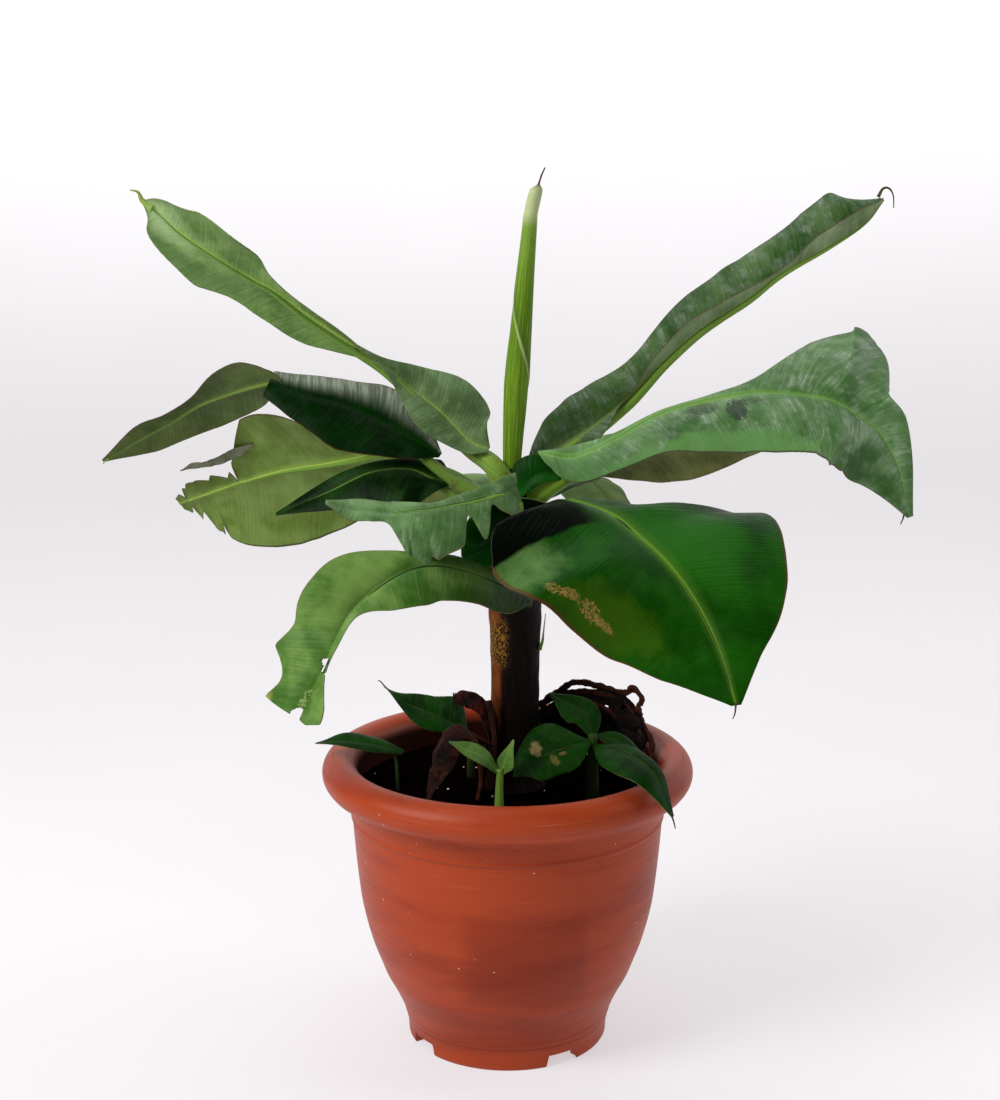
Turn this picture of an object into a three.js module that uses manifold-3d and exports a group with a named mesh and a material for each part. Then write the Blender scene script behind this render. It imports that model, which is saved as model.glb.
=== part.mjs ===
// Dwarf banana plant in a round plastic pot. Millimetres, +Z up, origin on the pot's axis at its underside.
// The viewer of the plant stands on the -Y side, so "left" leaves point to -X and "front" leaves to -Y.
import * as THREE from 'three';
import { mergeVertices } from 'three/addons/utils/BufferGeometryUtils.js';
import Module from 'manifold-3d';

const wasm = await Module();
wasm.setup();

// Driving dimensions
const CLEARANCE = 0.3;
const SOIL_LEVEL = 282;
const POT_WALL = 4;
const POT_BASE_LIFT = 14;
const POT_SEGMENTS = 32;
const TRUNK_SIDES = 20;
const SPEAR_SIDES = 10;
const STALK_SIDES = 6;
const STALK_STEPS_PER_SPAN = 2;
const FOOT_INNER_RADIUS = 96;
const FOOT_NOTCH_COUNT = 4;
const FOOT_NOTCH_DEPTH = 40;
const FOOT_NOTCH_WIDTH = 38;
const FOOT_NOTCH_HEIGHT = 13;
const FOOT_NOTCH_FIRST_ANGLE = -57;
const LIP_RADIUS = 181;
const LIP_HEIGHT = 301.6;
const LIP_TUBE = 19;
const LIP_START_ANGLE = -90;
const LIP_END_ANGLE = 180;
const LIP_STEPS = 9;
const BLADE_THICKNESS_SHARE = 1 / 90;
const BLADE_LEAST_THICKNESS = 1.6;
const BLADE_BOW = 0.08;
const EDGE_LEAST_WIDTH = 1.6;
const RIB_END_RADIUS = 1.4;
const RIB_TAPER = 0.8;
const WELD_DISTANCE = 1e-4;
const CURVE_STEP = 1e-3;
const STEEP = 0.9;
// Sucker stems start below the soil's surface and are cut level just above it
const STEM_START = SOIL_LEVEL - 8;

// Outer wall of the pot from its foot to the cove under the lip: [radius, height]
const POT_OUTER_WALL = [
  [108.7, 0], [110.5, 20], [116, 38], [124.5, 57], [134, 75], [141, 93], [147.6, 111],
  [152.8, 129], [157, 147], [160, 164], [164, 200], [167, 236], [168.5, 256], [172, 275], [180, 283],
];

// False stem of wrapped leaf bases: [x of the centre, height, radius], flared a little where it leaves the soil
const TRUNK_RINGS = [
  [8, SOIL_LEVEL + CLEARANCE, 33], [8, 292, 30], [8, 310, 27.5], [8, 345, 26], [8, 400, 25.5],
  [8, 440, 26.5], [8, 490, 28], [7, 540, 29], [6, 580, 26], [5, 608, 19], [4.5, 630, 10],
];

// Rolled young leaf that stands on the top of the stem: [x, height, radius]
const SPEAR_RINGS = [
  [4.5, 630 + CLEARANCE, 8.8], [5.5, 655, 10.5], [8, 700, 12.6], [9.5, 726, 13], [13, 770, 11.6],
  [18, 830, 9.4], [23, 890, 7.6], [25, 900, 7.4], [28, 914, 6], [31, 920, 1.8], [34, 930, 1.2], [37.5, 938, 1],
];

const FINISHES = {
  terracotta_plastic: { color: 0xb4532f, roughness: 0.38 },
  potting_soil: { color: 0x1d1713, roughness: 0.95 },
  stem_sheath: { color: 0x4a2a20, roughness: 0.6 },
  leaf_green: { color: 0x3f7d3c, roughness: 0.5 },
  leaf_dark: { color: 0x1f5a2c, roughness: 0.45 },
  leaf_pale: { color: 0x7d9152, roughness: 0.6 },
  young_green: { color: 0x86b445, roughness: 0.5 },
  dead_leaf: { color: 0x4b2f22, roughness: 0.8 },
};

const UP = new THREE.Vector3(0, 0, 1);

// Value of a smooth curve through rows of numbers at t = 0 to 1, for every column of the rows
function along(rows, t) {
  const spans = rows.length - 1;
  const place = Math.min(Math.max(t, 0), 1) * spans;
  const i = Math.min(Math.floor(place), spans - 1);
  const w = place - i;
  return rows[0].map((_, c) => {
    const p1 = rows[i][c];
    const p2 = rows[i + 1][c];
    const p0 = i > 0 ? rows[i - 1][c] : 2 * p1 - p2;
    const p3 = i + 2 <= spans ? rows[i + 2][c] : 2 * p2 - p1;
    const a = (p2 - p0) / 2;
    const b = (p3 - p1) / 2;
    return p1 + a * w + (3 * (p2 - p1) - 2 * a - b) * w * w + (2 * (p1 - p2) + a + b) * w ** 3;
  });
}

// Closed surface through rings of equal point count, capped at both ends by the given triangles of a ring
function loft(rings, cap) {
  const count = rings[0].length;
  const index = [];
  for (let r = 0; r < rings.length - 1; r += 1) {
    for (let k = 0; k < count; k += 1) {
      const a = r * count + k;
      const b = r * count + ((k + 1) % count);
      index.push(a, b, a + count, b, b + count, a + count);
    }
  }
  const last = (rings.length - 1) * count;
  for (const [a, b, c] of cap) {
    index.push(a, c, b);
    index.push(last + a, last + b, last + c);
  }
  const geometry = new THREE.BufferGeometry();
  geometry.setAttribute('position', new THREE.Float32BufferAttribute(rings.flat().flatMap((p) => p.toArray()), 3));
  geometry.setIndex(signedVolume(rings.flat(), index) < 0 ? index.reverse() : index);
  return geometry;
}

function signedVolume(points, index) {
  let sum = 0;
  for (let i = 0; i < index.length; i += 3) {
    const [a, b, c] = [points[index[i]], points[index[i + 1]], points[index[i + 2]]];
    sum += a.dot(new THREE.Vector3().crossVectors(b, c));
  }
  return sum / 6;
}

// Triangles of a ring that is a fan, and of a ring that is a thin strip folded round its edge
const fanCap = (count) => Array.from({ length: count - 2 }, (_, k) => [0, k + 1, k + 2]);
const stripCap = (count) =>
  Array.from({ length: count / 2 - 1 }, (_, k) => [
    [k, k + 1, count - 2 - k],
    [k, count - 2 - k, count - 1 - k],
  ]).flat();

function solid(geometry) {
  const bare = geometry.clone();
  bare.deleteAttribute('normal');
  bare.deleteAttribute('uv');
  const merged = mergeVertices(bare, WELD_DISTANCE);
  return new wasm.Manifold(new wasm.Mesh({
    numProp: 3,
    vertProperties: new Float32Array(merged.attributes.position.array),
    triVerts: new Uint32Array(merged.index.array),
  }));
}

// Round stalk along a smooth path: rows of [x, y, z, radius]
function stalk(rows, grow) {
  const steps = (rows.length - 1) * STALK_STEPS_PER_SPAN;
  const rings = [];
  for (let i = 0; i <= steps; i += 1) {
    const t = i / steps;
    const [x, y, z, radius] = along(rows, t);
    const tangent = direction(rows, t);
    const side = Math.abs(tangent.z) < STEEP
      ? new THREE.Vector3().crossVectors(UP, tangent).normalize()
      : new THREE.Vector3(1, 0, 0).addScaledVector(tangent, -tangent.x).normalize();
    const over = new THREE.Vector3().crossVectors(tangent, side);
    rings.push(Array.from({ length: STALK_SIDES }, (_, k) => {
      const angle = (2 * Math.PI * k) / STALK_SIDES;
      return new THREE.Vector3(x, y, z)
        .addScaledVector(side, (radius + grow) * Math.cos(angle))
        .addScaledVector(over, (radius + grow) * Math.sin(angle));
    }));
  }
  return loft(rings, fanCap(STALK_SIDES));
}

function direction(rows, t) {
  const [ax, ay, az] = along(rows, Math.max(t - CURVE_STEP, 0));
  const [bx, by, bz] = along(rows, Math.min(t + CURVE_STEP, 1));
  return new THREE.Vector3(bx - ax, by - ay, bz - az).normalize();
}

// One leaf blade. Each station is [x, y, z of the rib, left width, left lift, right width, right lift]:
// a half leaves the rib at its lift, in degrees above the level line across the leaf, and bows a little.
// "heading" is the compass angle that the leaf points to, in degrees from +X. Tears cut a half towards the rib.
// The blade is as thick as its own rib's length asks, or that of the whole leaf where "length" gives it.
function blade({ stations, heading, length, tears = [], steps = 12, across = 2 }, grow) {
  const thickness = Math.max((length ?? ribLength(stations)) * BLADE_THICKNESS_SHARE, BLADE_LEAST_THICKNESS);
  const yaw = THREE.MathUtils.degToRad(heading);
  const level = new THREE.Vector3(-Math.sin(yaw), Math.cos(yaw), 0);
  const places = Array.from({ length: steps + 1 }, (_, i) => i / steps);
  for (const tear of tears) {
    places.push(tear.at - tear.gap, tear.at, tear.at + tear.gap);
  }
  places.sort((a, b) => a - b);
  const rings = places.filter((t, i) => t <= 1 && (i === 0 || t - places[i - 1] > CURVE_STEP)).map((t) => {
    const row = along(stations, t);
    const tangent = direction(stations, t);
    const overrun = t === 0 ? -grow : t === 1 ? grow : 0;
    const rib = new THREE.Vector3(row[0], row[1], row[2]).addScaledVector(tangent, overrun);
    const side = level.clone().addScaledVector(tangent, -level.dot(tangent)).normalize();
    const over = new THREE.Vector3().crossVectors(tangent, side);
    const top = [];
    const bottom = [];
    for (let k = -across; k <= across; k += 1) {
      const left = k < 0;
      const share = Math.abs(k) / across;
      const sign = left ? 1 : -1;
      const torn = tears.filter((tear) => tear.left === left)
        .reduce((cut, tear) => Math.max(cut, tear.depth * (1 - Math.abs(t - tear.at) / tear.gap)), 0);
      const width = Math.max((left ? row[3] : row[5]) * (1 - torn), EDGE_LEAST_WIDTH) + grow;
      const lift = THREE.MathUtils.degToRad(left ? row[4] : row[6]);
      const out = side.clone().multiplyScalar(sign * Math.cos(lift)).addScaledVector(over, Math.sin(lift));
      const face = side.clone().multiplyScalar(-sign * Math.sin(lift)).addScaledVector(over, Math.cos(lift));
      if (k === 0) {
        const other = THREE.MathUtils.degToRad(row[4]);
        face.addScaledVector(side, -Math.sin(other)).addScaledVector(over, Math.cos(other)).normalize();
      }
      const point = rib.clone().addScaledVector(out, width * share)
        .addScaledVector(face, BLADE_BOW * width * 4 * share * (1 - share));
      top.push(point.clone().addScaledVector(face, thickness / 2 + grow));
      bottom.unshift(point.clone().addScaledVector(face, -thickness / 2 - grow));
    }
    return [...top, ...bottom];
  });
  return loft(rings, stripCap(rings[0].length));
}

function ribLength(stations) {
  const points = stations.map((row) => new THREE.Vector3(row[0], row[1], row[2]));
  return points.slice(1).reduce((sum, point, i) => sum + point.distanceTo(points[i]), 0);
}

// A leaf is its stalk, the start of its rib, and its blades, fused. The stalk's rows are [x, y, z];
// the radius falls from "girth" at the foot to "end", or to a thin rib where no end is given.
function leafParts(leaf, grow) {
  const parts = leaf.blades.map((each) => blade(each, grow));
  for (const stem of leaf.stalks ?? []) {
    const last = stem.path.length - 1;
    const rows = stem.path.map(([x, y, z], i) =>
      [x, y, z, stem.girth + ((stem.end ?? RIB_END_RADIUS) - stem.girth) * (i / last) ** RIB_TAPER]);
    parts.push(stalk(rows, grow));
  }
  return parts.map(solid).reduce((sum, part) => sum.add(part));
}

// Largest single body of a solid, without the loose scraps that a cut can leave
function largest(body) {
  return body.decompose().sort((a, b) => b.volume() - a.volume())[0];
}

const ribOf = (stations, first, last) => stations.slice(first, last).map((row) => row.slice(0, 3));

// Leaves, from the top of the stem downwards
const UPPER_LEFT_INNER = [
  [-20, -10, 650, 5, -20, 3, 70],
  [-40, -10, 660, 16, -60, 42, 50],
  [-70, -5, 690, 30, -60, 47, 55],
  [-100, 0, 713, 20, -50, 30, 55],
  [-130, -5, 738, 6, -20, 9, 50],
  [-160, -10, 759, 4, 0, 4, 30],
];
const UPPER_LEFT_OUTER = [
  [-135, -5, 740, 4, 20, 4, -30],
  [-170, -15, 765, 8, 55, 26, -50],
  [-205, -25, 790, 12, 45, 40, -50],
  [-235, -35, 815, 14, 40, 42, -50],
  [-260, -40, 830, 34, 40, 44, -45],
  [-290, -50, 850, 46, 40, 60, -45],
  [-325, -55, 875, 42, 45, 48, -45],
  [-345, -60, 895, 22, 45, 28, -45],
  [-360, -60, 905, 2, 40, 2, -40],
];
const UPPER_LEFT_LENGTH = ribLength([...UPPER_LEFT_INNER, ...UPPER_LEFT_OUTER]);
const LEFT_INNER = [
  [-70, -15, 645, 3, -50, 3, 50],
  [-95, -10, 660, 27, -50, 25, 45],
  [-135, 0, 680, 45, -55, 44, 45],
  [-170, 5, 695, 50, -55, 32, 48],
  [-210, 10, 705, 33, -55, 24, 55],
  [-250, 20, 717, 16, -65, 14, 60],
];
const LEFT_OUTER = [
  [-248, 24, 716, 20, 50, 15, -60],
  [-270, 28, 711, 36, 55, 30, -55],
  [-300, 36, 701, 31, 52, 36, -55],
  [-329, 42, 689, 15, 50, 38, -55],
  [-358, 42, 671, 15, 50, 31, -50],
  [-391, 38, 654, 19, 45, 24, -50],
  [-430, 30, 632, 2, 40, 2, -40],
];
const LOW_LEFT = [
  [-95, 42, 630, 4, 30, 4, -30],
  [-125, 60, 635, 28, 45, 40, -80],
  [-165, 85, 625, 36, 55, 62, -72],
  [-205, 105, 615, 60, 62, 80, -70],
  [-250, 125, 605, 76, 65, 88, -75],
  [-295, 145, 590, 62, 65, 84, -78],
  [-335, 160, 575, 40, 55, 60, -80],
  [-375, 170, 560, 8, 50, 12, -50],
];
const SMALL_LEFT = [
  [-60, -15, 615, 4, -30, 4, 40],
  [-80, -10, 622, 38, -50, 26, 45],
  [-105, -5, 630, 46, -45, 13, 45],
  [-145, 0, 625, 42, -45, 11, 45],
  [-190, 5, 603, 24, -40, 14, 40],
  [-245, 10, 578, 2, -30, 2, 30],
];
const TORN_FRONT = [
  [12, -42, 620, 4, -60, 4, 50],
  [0, -50, 615, 42, -80, 12, 50],
  [-16, -60, 611, 12, -65, 14, 50],
  [-32, -70, 609, 30, -65, 10, 50],
  [-50, -78, 606, 16, -60, 5, 40],
  [-74, -90, 604, 44, -62, 6, 40],
  [-100, -100, 602, 54, -65, 12, 40],
  [-122, -105, 601, 12, -50, 16, 40],
  [-150, -110, 605, 11, -50, 15, 40],
  [-180, -120, 615, 3, -40, 3, 40],
];
const FRONT_LEFT_INNER = [
  [25, -46, 500, 6, -40, 6, 20],
  [0, -62, 516, 32, -55, 22, 30],
  [-35, -88, 537, 36, -55, 25, 30],
  [-70, -112, 550, 38, -58, 14, 40],
  [-100, -135, 550, 40, -55, 24, 48],
  [-130, -155, 535, 28, -45, 46, 52],
  [-152, -170, 515, 8, -20, 52, 52],
];
const FRONT_LEFT_OUTER = [
  [-150, -170, 516, 8, -20, 44, 48],
  [-168, -180, 487, 6, 0, 48, 30],
  [-180, -185, 460, 6, 0, 50, 22],
  [-192, -188, 438, 20, 0, 48, 14],
  [-202, -190, 418, 24, 0, 60, 0],
];
const FRONT_RIGHT = [
  [60, -50, 605, 20, -14, 57, 0],
  [85, -70, 601, 86, -22, 140, 8],
  [106, -90, 595, 130, -23, 168, 4],
  [128, -112, 580, 164, -20, 170, 4],
  [153, -138, 560, 148, -13, 162, 8],
  [175, -165, 535, 116, 2, 130, 0],
  [193, -190, 505, 80, 8, 98, -10],
  [205, -215, 475, 36, 8, 64, -10],
  [214, -240, 443, 5, 0, 5, 0],
];
const RIGHT = [
  [40, -25, 630, 4, 30, 6, -40],
  [70, -20, 645, 14, 45, 34, -45],
  [110, -20, 663, 7, 45, 36, -50],
  [158, -10, 688, 4, 45, 50, -50],
  [213, -5, 703, 6, 45, 64, -55],
  [265, 0, 709, 22, 45, 72, -50],
  [320, 5, 704, 80, 38, 74, -45],
  [343, 5, 697, 107, 47, 76, -45],
  [360, 5, 688, 102, 44, 80, -45],
  [374, 3, 678, 48, 58, 72, -50],
  [389, 0, 664, 34, 72, 64, -60],
  [407, -8, 632, 16, 85, 50, -75],
  [420, -15, 580, 4, 60, 4, -60],
];
const UPPER_RIGHT = [
  [22, 12, 602, 6, 40, 6, -40],
  [32, 16, 630, 14, 50, 26, -45],
  [57, 25, 648, 34, 55, 22, -45],
  [92, 40, 668, 43, 58, 18, -25],
  [130, 60, 695, 36, 60, 6, 40],
  [165, 75, 730, 30, 50, 16, 60],
  [210, 90, 767, 42, 50, 20, 60],
  [260, 105, 797, 46, 50, 14, 60],
  [300, 120, 825, 42, 50, 6, 60],
  [350, 130, 852, 52, 50, 22, 60],
  [390, 140, 877, 48, 55, 20, 60],
  [412, 150, 902, 4, 40, 4, 40],
];
const BACK_RIGHT = [
  [45, 42, 615, 4, 30, 4, -30],
  [95, 85, 632, 30, 10, 38, -42],
  [160, 130, 641, 40, 5, 60, -46],
  [225, 165, 648, 42, 5, 56, -46],
  [290, 195, 646, 38, 0, 34, -42],
  [335, 218, 636, 24, -5, 18, -40],
  [362, 232, 618, 4, 0, 4, 0],
];
const BACK = [
  [28, 42, 585, 4, 20, 4, -20],
  [52, 90, 600, 30, 10, 26, -10],
  [78, 140, 598, 46, 0, 36, -5],
  [102, 188, 580, 50, -10, 38, -10],
  [122, 222, 545, 38, -15, 30, -15],
  [132, 240, 500, 4, 0, 4, 0],
];
const BACK_LEFT = [
  [-14, 42, 582, 4, 20, 4, -20],
  [-38, 90, 598, 28, 5, 28, 0],
  [-62, 140, 596, 40, -5, 40, -5],
  [-86, 188, 574, 42, -10, 40, -10],
  [-104, 222, 538, 32, -15, 30, -15],
  [-114, 240, 495, 4, 0, 4, 0],
];

const LEAVES = {
  leaf_upper_left: {
    finish: 'leaf_green',
    blades: [
      { stations: UPPER_LEFT_INNER, heading: 180, steps: 9, length: UPPER_LEFT_LENGTH },
      { stations: UPPER_LEFT_OUTER, heading: 180, steps: 14, length: UPPER_LEFT_LENGTH },
    ],
    stalks: [
      { girth: 12, path: [[4, -6, 600], [-12, -13, 632], [-34, -14, 648], [-60, -8, 676],
        ...ribOf(UPPER_LEFT_INNER, 3, 5), ...ribOf(UPPER_LEFT_OUTER, 1, 3)] },
    ],
  },
  leaf_left_inner: {
    finish: 'leaf_dark',
    blades: [{ stations: LEFT_INNER, heading: 180, steps: 10 }],
    stalks: [{ girth: 12, path: [[2, -10, 568], [-22, -20, 600], [-46, -20, 626], ...ribOf(LEFT_INNER, 1, 4)] }],
  },
  leaf_left_outer: {
    finish: 'leaf_pale',
    blades: [{ stations: LEFT_OUTER, heading: 180, steps: 12 }],
  },
  leaf_upper_right: {
    finish: 'leaf_green',
    blades: [{ stations: UPPER_RIGHT, heading: 15, steps: 16 }],
    stalks: [{ girth: 10, path: [[10, 8, 580], [20, 12, 606], [34, 17, 632], ...ribOf(UPPER_RIGHT, 2, 6)] }],
  },
  leaf_right: {
    finish: 'leaf_green',
    blades: [{ stations: RIGHT, heading: 0, steps: 24, across: 3 }],
    stalks: [{ girth: 11, path: [[12, -4, 578], [36, -15, 606], [62, -21, 632], ...ribOf(RIGHT, 2, 6)] }],
  },
  leaf_low_left: {
    finish: 'leaf_pale',
    blades: [{
      stations: LOW_LEFT,
      heading: 160,
      steps: 12,
      tears: [
        { left: true, at: 0.83, gap: 0.035, depth: 0.85 },
        { left: false, at: 0.93, gap: 0.02, depth: 0.5 },
      ],
    }],
    stalks: [{ girth: 9, path: [[2, 10, 560], [-28, 24, 594], [-62, 34, 620], ...ribOf(LOW_LEFT, 1, 4)] }],
  },
  leaf_small_left: {
    finish: 'leaf_dark',
    blades: [{ stations: SMALL_LEFT, heading: 195, steps: 10 }],
    stalks: [{ girth: 8, path: [[2, -8, 538], [-22, -18, 570], [-44, -18, 600], ...ribOf(SMALL_LEFT, 1, 3)] }],
  },
  leaf_torn_front: {
    finish: 'leaf_green',
    blades: [{ stations: TORN_FRONT, heading: 215, steps: 18 }],
    stalks: [{ girth: 7, path: [[8, -12, 560], [12, -34, 588], [8, -44, 610], ...ribOf(TORN_FRONT, 2, 4)] }],
  },
  leaf_back_right: {
    finish: 'leaf_pale',
    blades: [{ stations: BACK_RIGHT, heading: 35, steps: 11 }],
    stalks: [{ girth: 9, path: [[12, 8, 552], [30, 26, 592], ...ribOf(BACK_RIGHT, 1, 3)] }],
  },
  leaf_back: {
    finish: 'leaf_green',
    blades: [{ stations: BACK, heading: 65, steps: 10 }],
    stalks: [{ girth: 8, path: [[10, 10, 528], [20, 30, 566], ...ribOf(BACK, 1, 3)] }],
  },
  leaf_back_left: {
    finish: 'leaf_dark',
    blades: [{ stations: BACK_LEFT, heading: 115, steps: 10 }],
    stalks: [{ girth: 8, path: [[2, 10, 528], [-8, 30, 564], ...ribOf(BACK_LEFT, 1, 3)] }],
  },
  leaf_front_right: {
    finish: 'leaf_dark',
    blades: [{ stations: FRONT_RIGHT, heading: -75, steps: 16, across: 3 }],
    stalks: [{ girth: 9, path: [[12, -8, 530], [34, -30, 572], [56, -46, 602], ...ribOf(FRONT_RIGHT, 2, 5)] }],
  },
  leaf_front_left_inner: {
    finish: 'leaf_green',
    blades: [{ stations: FRONT_LEFT_INNER, heading: 220, steps: 12 }],
    stalks: [{ girth: 8, path: [[12, -12, 470], [22, -40, 494], ...ribOf(FRONT_LEFT_INNER, 1, 4)] }],
  },
  leaf_front_left_outer: {
    finish: 'leaf_green',
    blades: [{ stations: FRONT_LEFT_OUTER, heading: 220, steps: 8 }],
  },
  sucker_right: {
    finish: 'leaf_dark',
    blades: [
      {
        stations: [
          [86, -48, 346, 4, -20, 4, 20], [65, -58, 343, 24, -50, 30, 35], [42, -66, 338, 27, -40, 35, 35],
          [20, -75, 330, 24, -40, 18, 30], [6, -82, 318, 2, 0, 2, 0],
        ],
        heading: 200,
        steps: 7,
      },
      {
        stations: [
          [92, -50, 342, 4, 0, 4, -20], [112, -76, 347, 12, 10, 26, -22], [132, -104, 345, 14, 5, 32, -18],
          [150, -130, 334, 12, 0, 26, -12], [165, -151, 300, 2, 0, 2, 0],
        ],
        heading: -40,
        steps: 7,
      },
      {
        stations: [[95, -42, 350, 3, 20, 3, -20], [112, -42, 347, 10, 30, 15, -30], [128, -44, 340, 10, 20, 12, -30],
          [142, -46, 332, 2, 0, 2, 0]],
        heading: 0,
        steps: 5,
      },
      {
        stations: [[90, -36, 346, 3, -30, 3, 30], [84, -18, 364, 12, -30, 12, 30], [68, -8, 374, 12, -30, 10, 30],
          [45, 2, 384, 2, 0, 2, 0]],
        heading: 150,
        steps: 5,
      },
    ],
    stalks: [{ girth: 9, end: 7, path: [[90, -44, STEM_START], [90, -44, 316], [90, -44, 352]] }],
  },
  sucker_front: {
    finish: 'young_green',
    blades: [
      {
        stations: [[-10, -98, 328, 3, -20, 3, 30], [-25, -100, 345, 10, -30, 12, 30], [-43, -104, 355, 8, -30, 11, 30],
          [-60, -106, 364, 2, 0, 2, 0]],
        heading: 180,
        steps: 5,
      },
      {
        stations: [[-7, -97, 326, 3, 20, 3, -20], [-3, -95, 338, 10, 30, 12, -30], [6, -94, 362, 2, 0, 2, 0]],
        heading: 20,
        steps: 5,
      },
    ],
    stalks: [{ girth: 6, end: 5, path: [[-9, -100, STEM_START], [-9, -100, 305], [-8, -98, 332]] }],
  },
  sucker_left: {
    finish: 'leaf_dark',
    blades: [{
      stations: [[-45, 35, 330, 3, -20, 3, 30], [-65, 40, 340, 13, -40, 26, 45], [-90, 45, 350, 18, -40, 20, 40],
        [-115, 50, 360, 8, -40, 14, 40], [-135, 55, 375, 1.6, 0, 1.6, 0]],
      heading: 190,
      steps: 8,
    }],
    stalks: [{ girth: 5, end: 3.5, path: [[-40, 32, STEM_START], [-42, 33, 310], [-52, 37, 334]] }],
  },
  sucker_rim_left: {
    finish: 'leaf_dark',
    blades: [{
      stations: [[-112, -12, 322, 3, -20, 3, 30], [-145, -14, 331, 12, -20, 15, 15], [-175, -16, 336, 11, -15, 14, 20],
        [-205, -18, 334, 1.6, 0, 1.6, 0]],
      heading: 180,
      steps: 7,
    }],
    stalks: [{ girth: 2.6, end: 2.2, path: [[-118, -12, STEM_START], [-119, -12, 305], [-122, -12, 324]] }],
  },
  dead_leaf_right: {
    finish: 'dead_leaf',
    blades: [{
      stations: [[30, 30, 350, 6, -20, 26, -80], [60, 30, 372, 14, -50, 50, -80], [98, 26, 382, 15, -60, 60, -82],
        [132, 20, 372, 20, -70, 58, -85], [148, 12, 345, 20, -60, 34, -80], [150, 4, 312, 4, 0, 8, -60]],
      heading: 0,
      steps: 12,
    }],
    stalks: [{ girth: 3.5, path: [[20, 22, 346], [36, 28, 356], [60, 30, 372]] }],
  },
  dead_leaf_left: {
    finish: 'dead_leaf',
    blades: [{
      stations: [[-24, -36, 338, 5, -20, 5, 20], [-48, -50, 356, 14, -50, 14, 20], [-66, -58, 346, 20, -40, 14, 0],
        [-77, -66, 320, 20, -20, 12, -10], [-84, -72, 290, 6, 0, 6, 0]],
      heading: 205,
      steps: 10,
    }],
    stalks: [{ girth: 3.5, path: [[-8, -16, 330], [-20, -32, 338], [-44, -48, 354]] }],
  },
  dead_sheath: {
    finish: 'dead_leaf',
    blades: [{
      stations: [[-10, -24, 312, 8, -30, 8, 30], [-16, -24, 345, 9, -30, 9, 30], [-22, -22, 372, 10, -60, 8, 30],
        [-40, -20, 386, 12, -60, 8, 30], [-58, -20, 385, 10, -50, 7, 30]],
      heading: 180,
      steps: 9,
    }],
  },
};

// Round column of level rings: rows of [x, height, radius]
function column(rows, grow, sides) {
  const rings = rows.map(([x, z, radius], i) => {
    const lift = i === 0 ? -grow : i === rows.length - 1 ? grow : 0;
    return Array.from({ length: sides }, (_, k) => {
      const angle = (2 * Math.PI * k) / sides;
      const reach = radius + grow;
      return new THREE.Vector3(x + reach * Math.cos(angle), reach * Math.sin(angle), z + lift);
    });
  });
  return solid(loft(rings, fanCap(sides)));
}

// Pot shell with a recessed base, a foot ring and a rolled lip, turned as one closed profile
function potProfile() {
  const lip = Array.from({ length: LIP_STEPS + 1 }, (_, i) => {
    const degrees = LIP_START_ANGLE + ((LIP_END_ANGLE - LIP_START_ANGLE) * i) / LIP_STEPS;
    const angle = THREE.MathUtils.degToRad(degrees);
    return [LIP_RADIUS + LIP_TUBE * Math.cos(angle), LIP_HEIGHT + LIP_TUBE * Math.sin(angle)];
  });
  return [
    [0, POT_BASE_LIFT], [FOOT_INNER_RADIUS, POT_BASE_LIFT], [FOOT_INNER_RADIUS, 0], ...POT_OUTER_WALL,
    ...lip, ...innerWall(POT_WALL).reverse(), [0, POT_BASE_LIFT + POT_WALL],
  ];
}

// Inner face of the wall, from the base up to the cove under the lip, with every second bend of the outer wall
function innerWall(inset) {
  const floor = POT_BASE_LIFT + POT_WALL;
  const cove = POT_OUTER_WALL.length - 2;
  const wall = POT_OUTER_WALL.filter((_, i) => i % 2 === 0 && i > 0 && i < cove).map(([r, z]) => [r - inset, z]);
  return [[POT_OUTER_WALL[0][0] - inset, floor], ...wall];
}

function potBody() {
  let body = turned(potProfile());
  for (let turn = 0; turn < FOOT_NOTCH_COUNT; turn += 1) {
    const notch = new THREE.BoxGeometry(FOOT_NOTCH_DEPTH, FOOT_NOTCH_WIDTH, 2 * FOOT_NOTCH_HEIGHT);
    notch.translate(POT_OUTER_WALL[0][0], 0, 0);
    notch.rotateZ(THREE.MathUtils.degToRad(FOOT_NOTCH_FIRST_ANGLE + (360 * turn) / FOOT_NOTCH_COUNT));
    body = body.subtract(solid(notch));
  }
  return body;
}

const turned = (outline) =>
  solid(new THREE.LatheGeometry(outline.map(([r, z]) => new THREE.Vector2(r, z)), POT_SEGMENTS).rotateX(Math.PI / 2));

// Root ball that fills the pot, flat where the stems stand on it
function soilBody() {
  const floor = POT_BASE_LIFT + POT_WALL + CLEARANCE;
  const wall = innerWall(POT_WALL + CLEARANCE).map(([r, z]) => [r, Math.max(z, floor)]);
  const rim = Math.min(LIP_RADIUS - LIP_TUBE, wall.at(-1)[0]) - CLEARANCE;
  return turned([[0, floor], ...wall, [rim, SOIL_LEVEL], [0, SOIL_LEVEL]]);
}

// Space that the stems are cut back from: the soil under them and its clearance
function soilSpace() {
  const top = SOIL_LEVEL + CLEARANCE;
  const bottom = STEM_START - CLEARANCE;
  const reach = LIP_RADIUS - LIP_TUBE;
  return turned([[0, bottom], [reach, bottom], [reach, top], [0, top]]);
}

function named(name, body, finish) {
  const { vertProperties, triVerts } = body.getMesh();
  const geometry = new THREE.BufferGeometry();
  geometry.setAttribute('position', new THREE.BufferAttribute(new Float32Array(vertProperties), 3));
  geometry.setIndex(new THREE.BufferAttribute(new Uint32Array(triVerts), 1));
  geometry.computeVertexNormals();
  const mesh = new THREE.Mesh(geometry, new THREE.MeshStandardMaterial({ ...FINISHES[finish], metalness: 0 }));
  mesh.name = name;
  return mesh;
}

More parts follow.
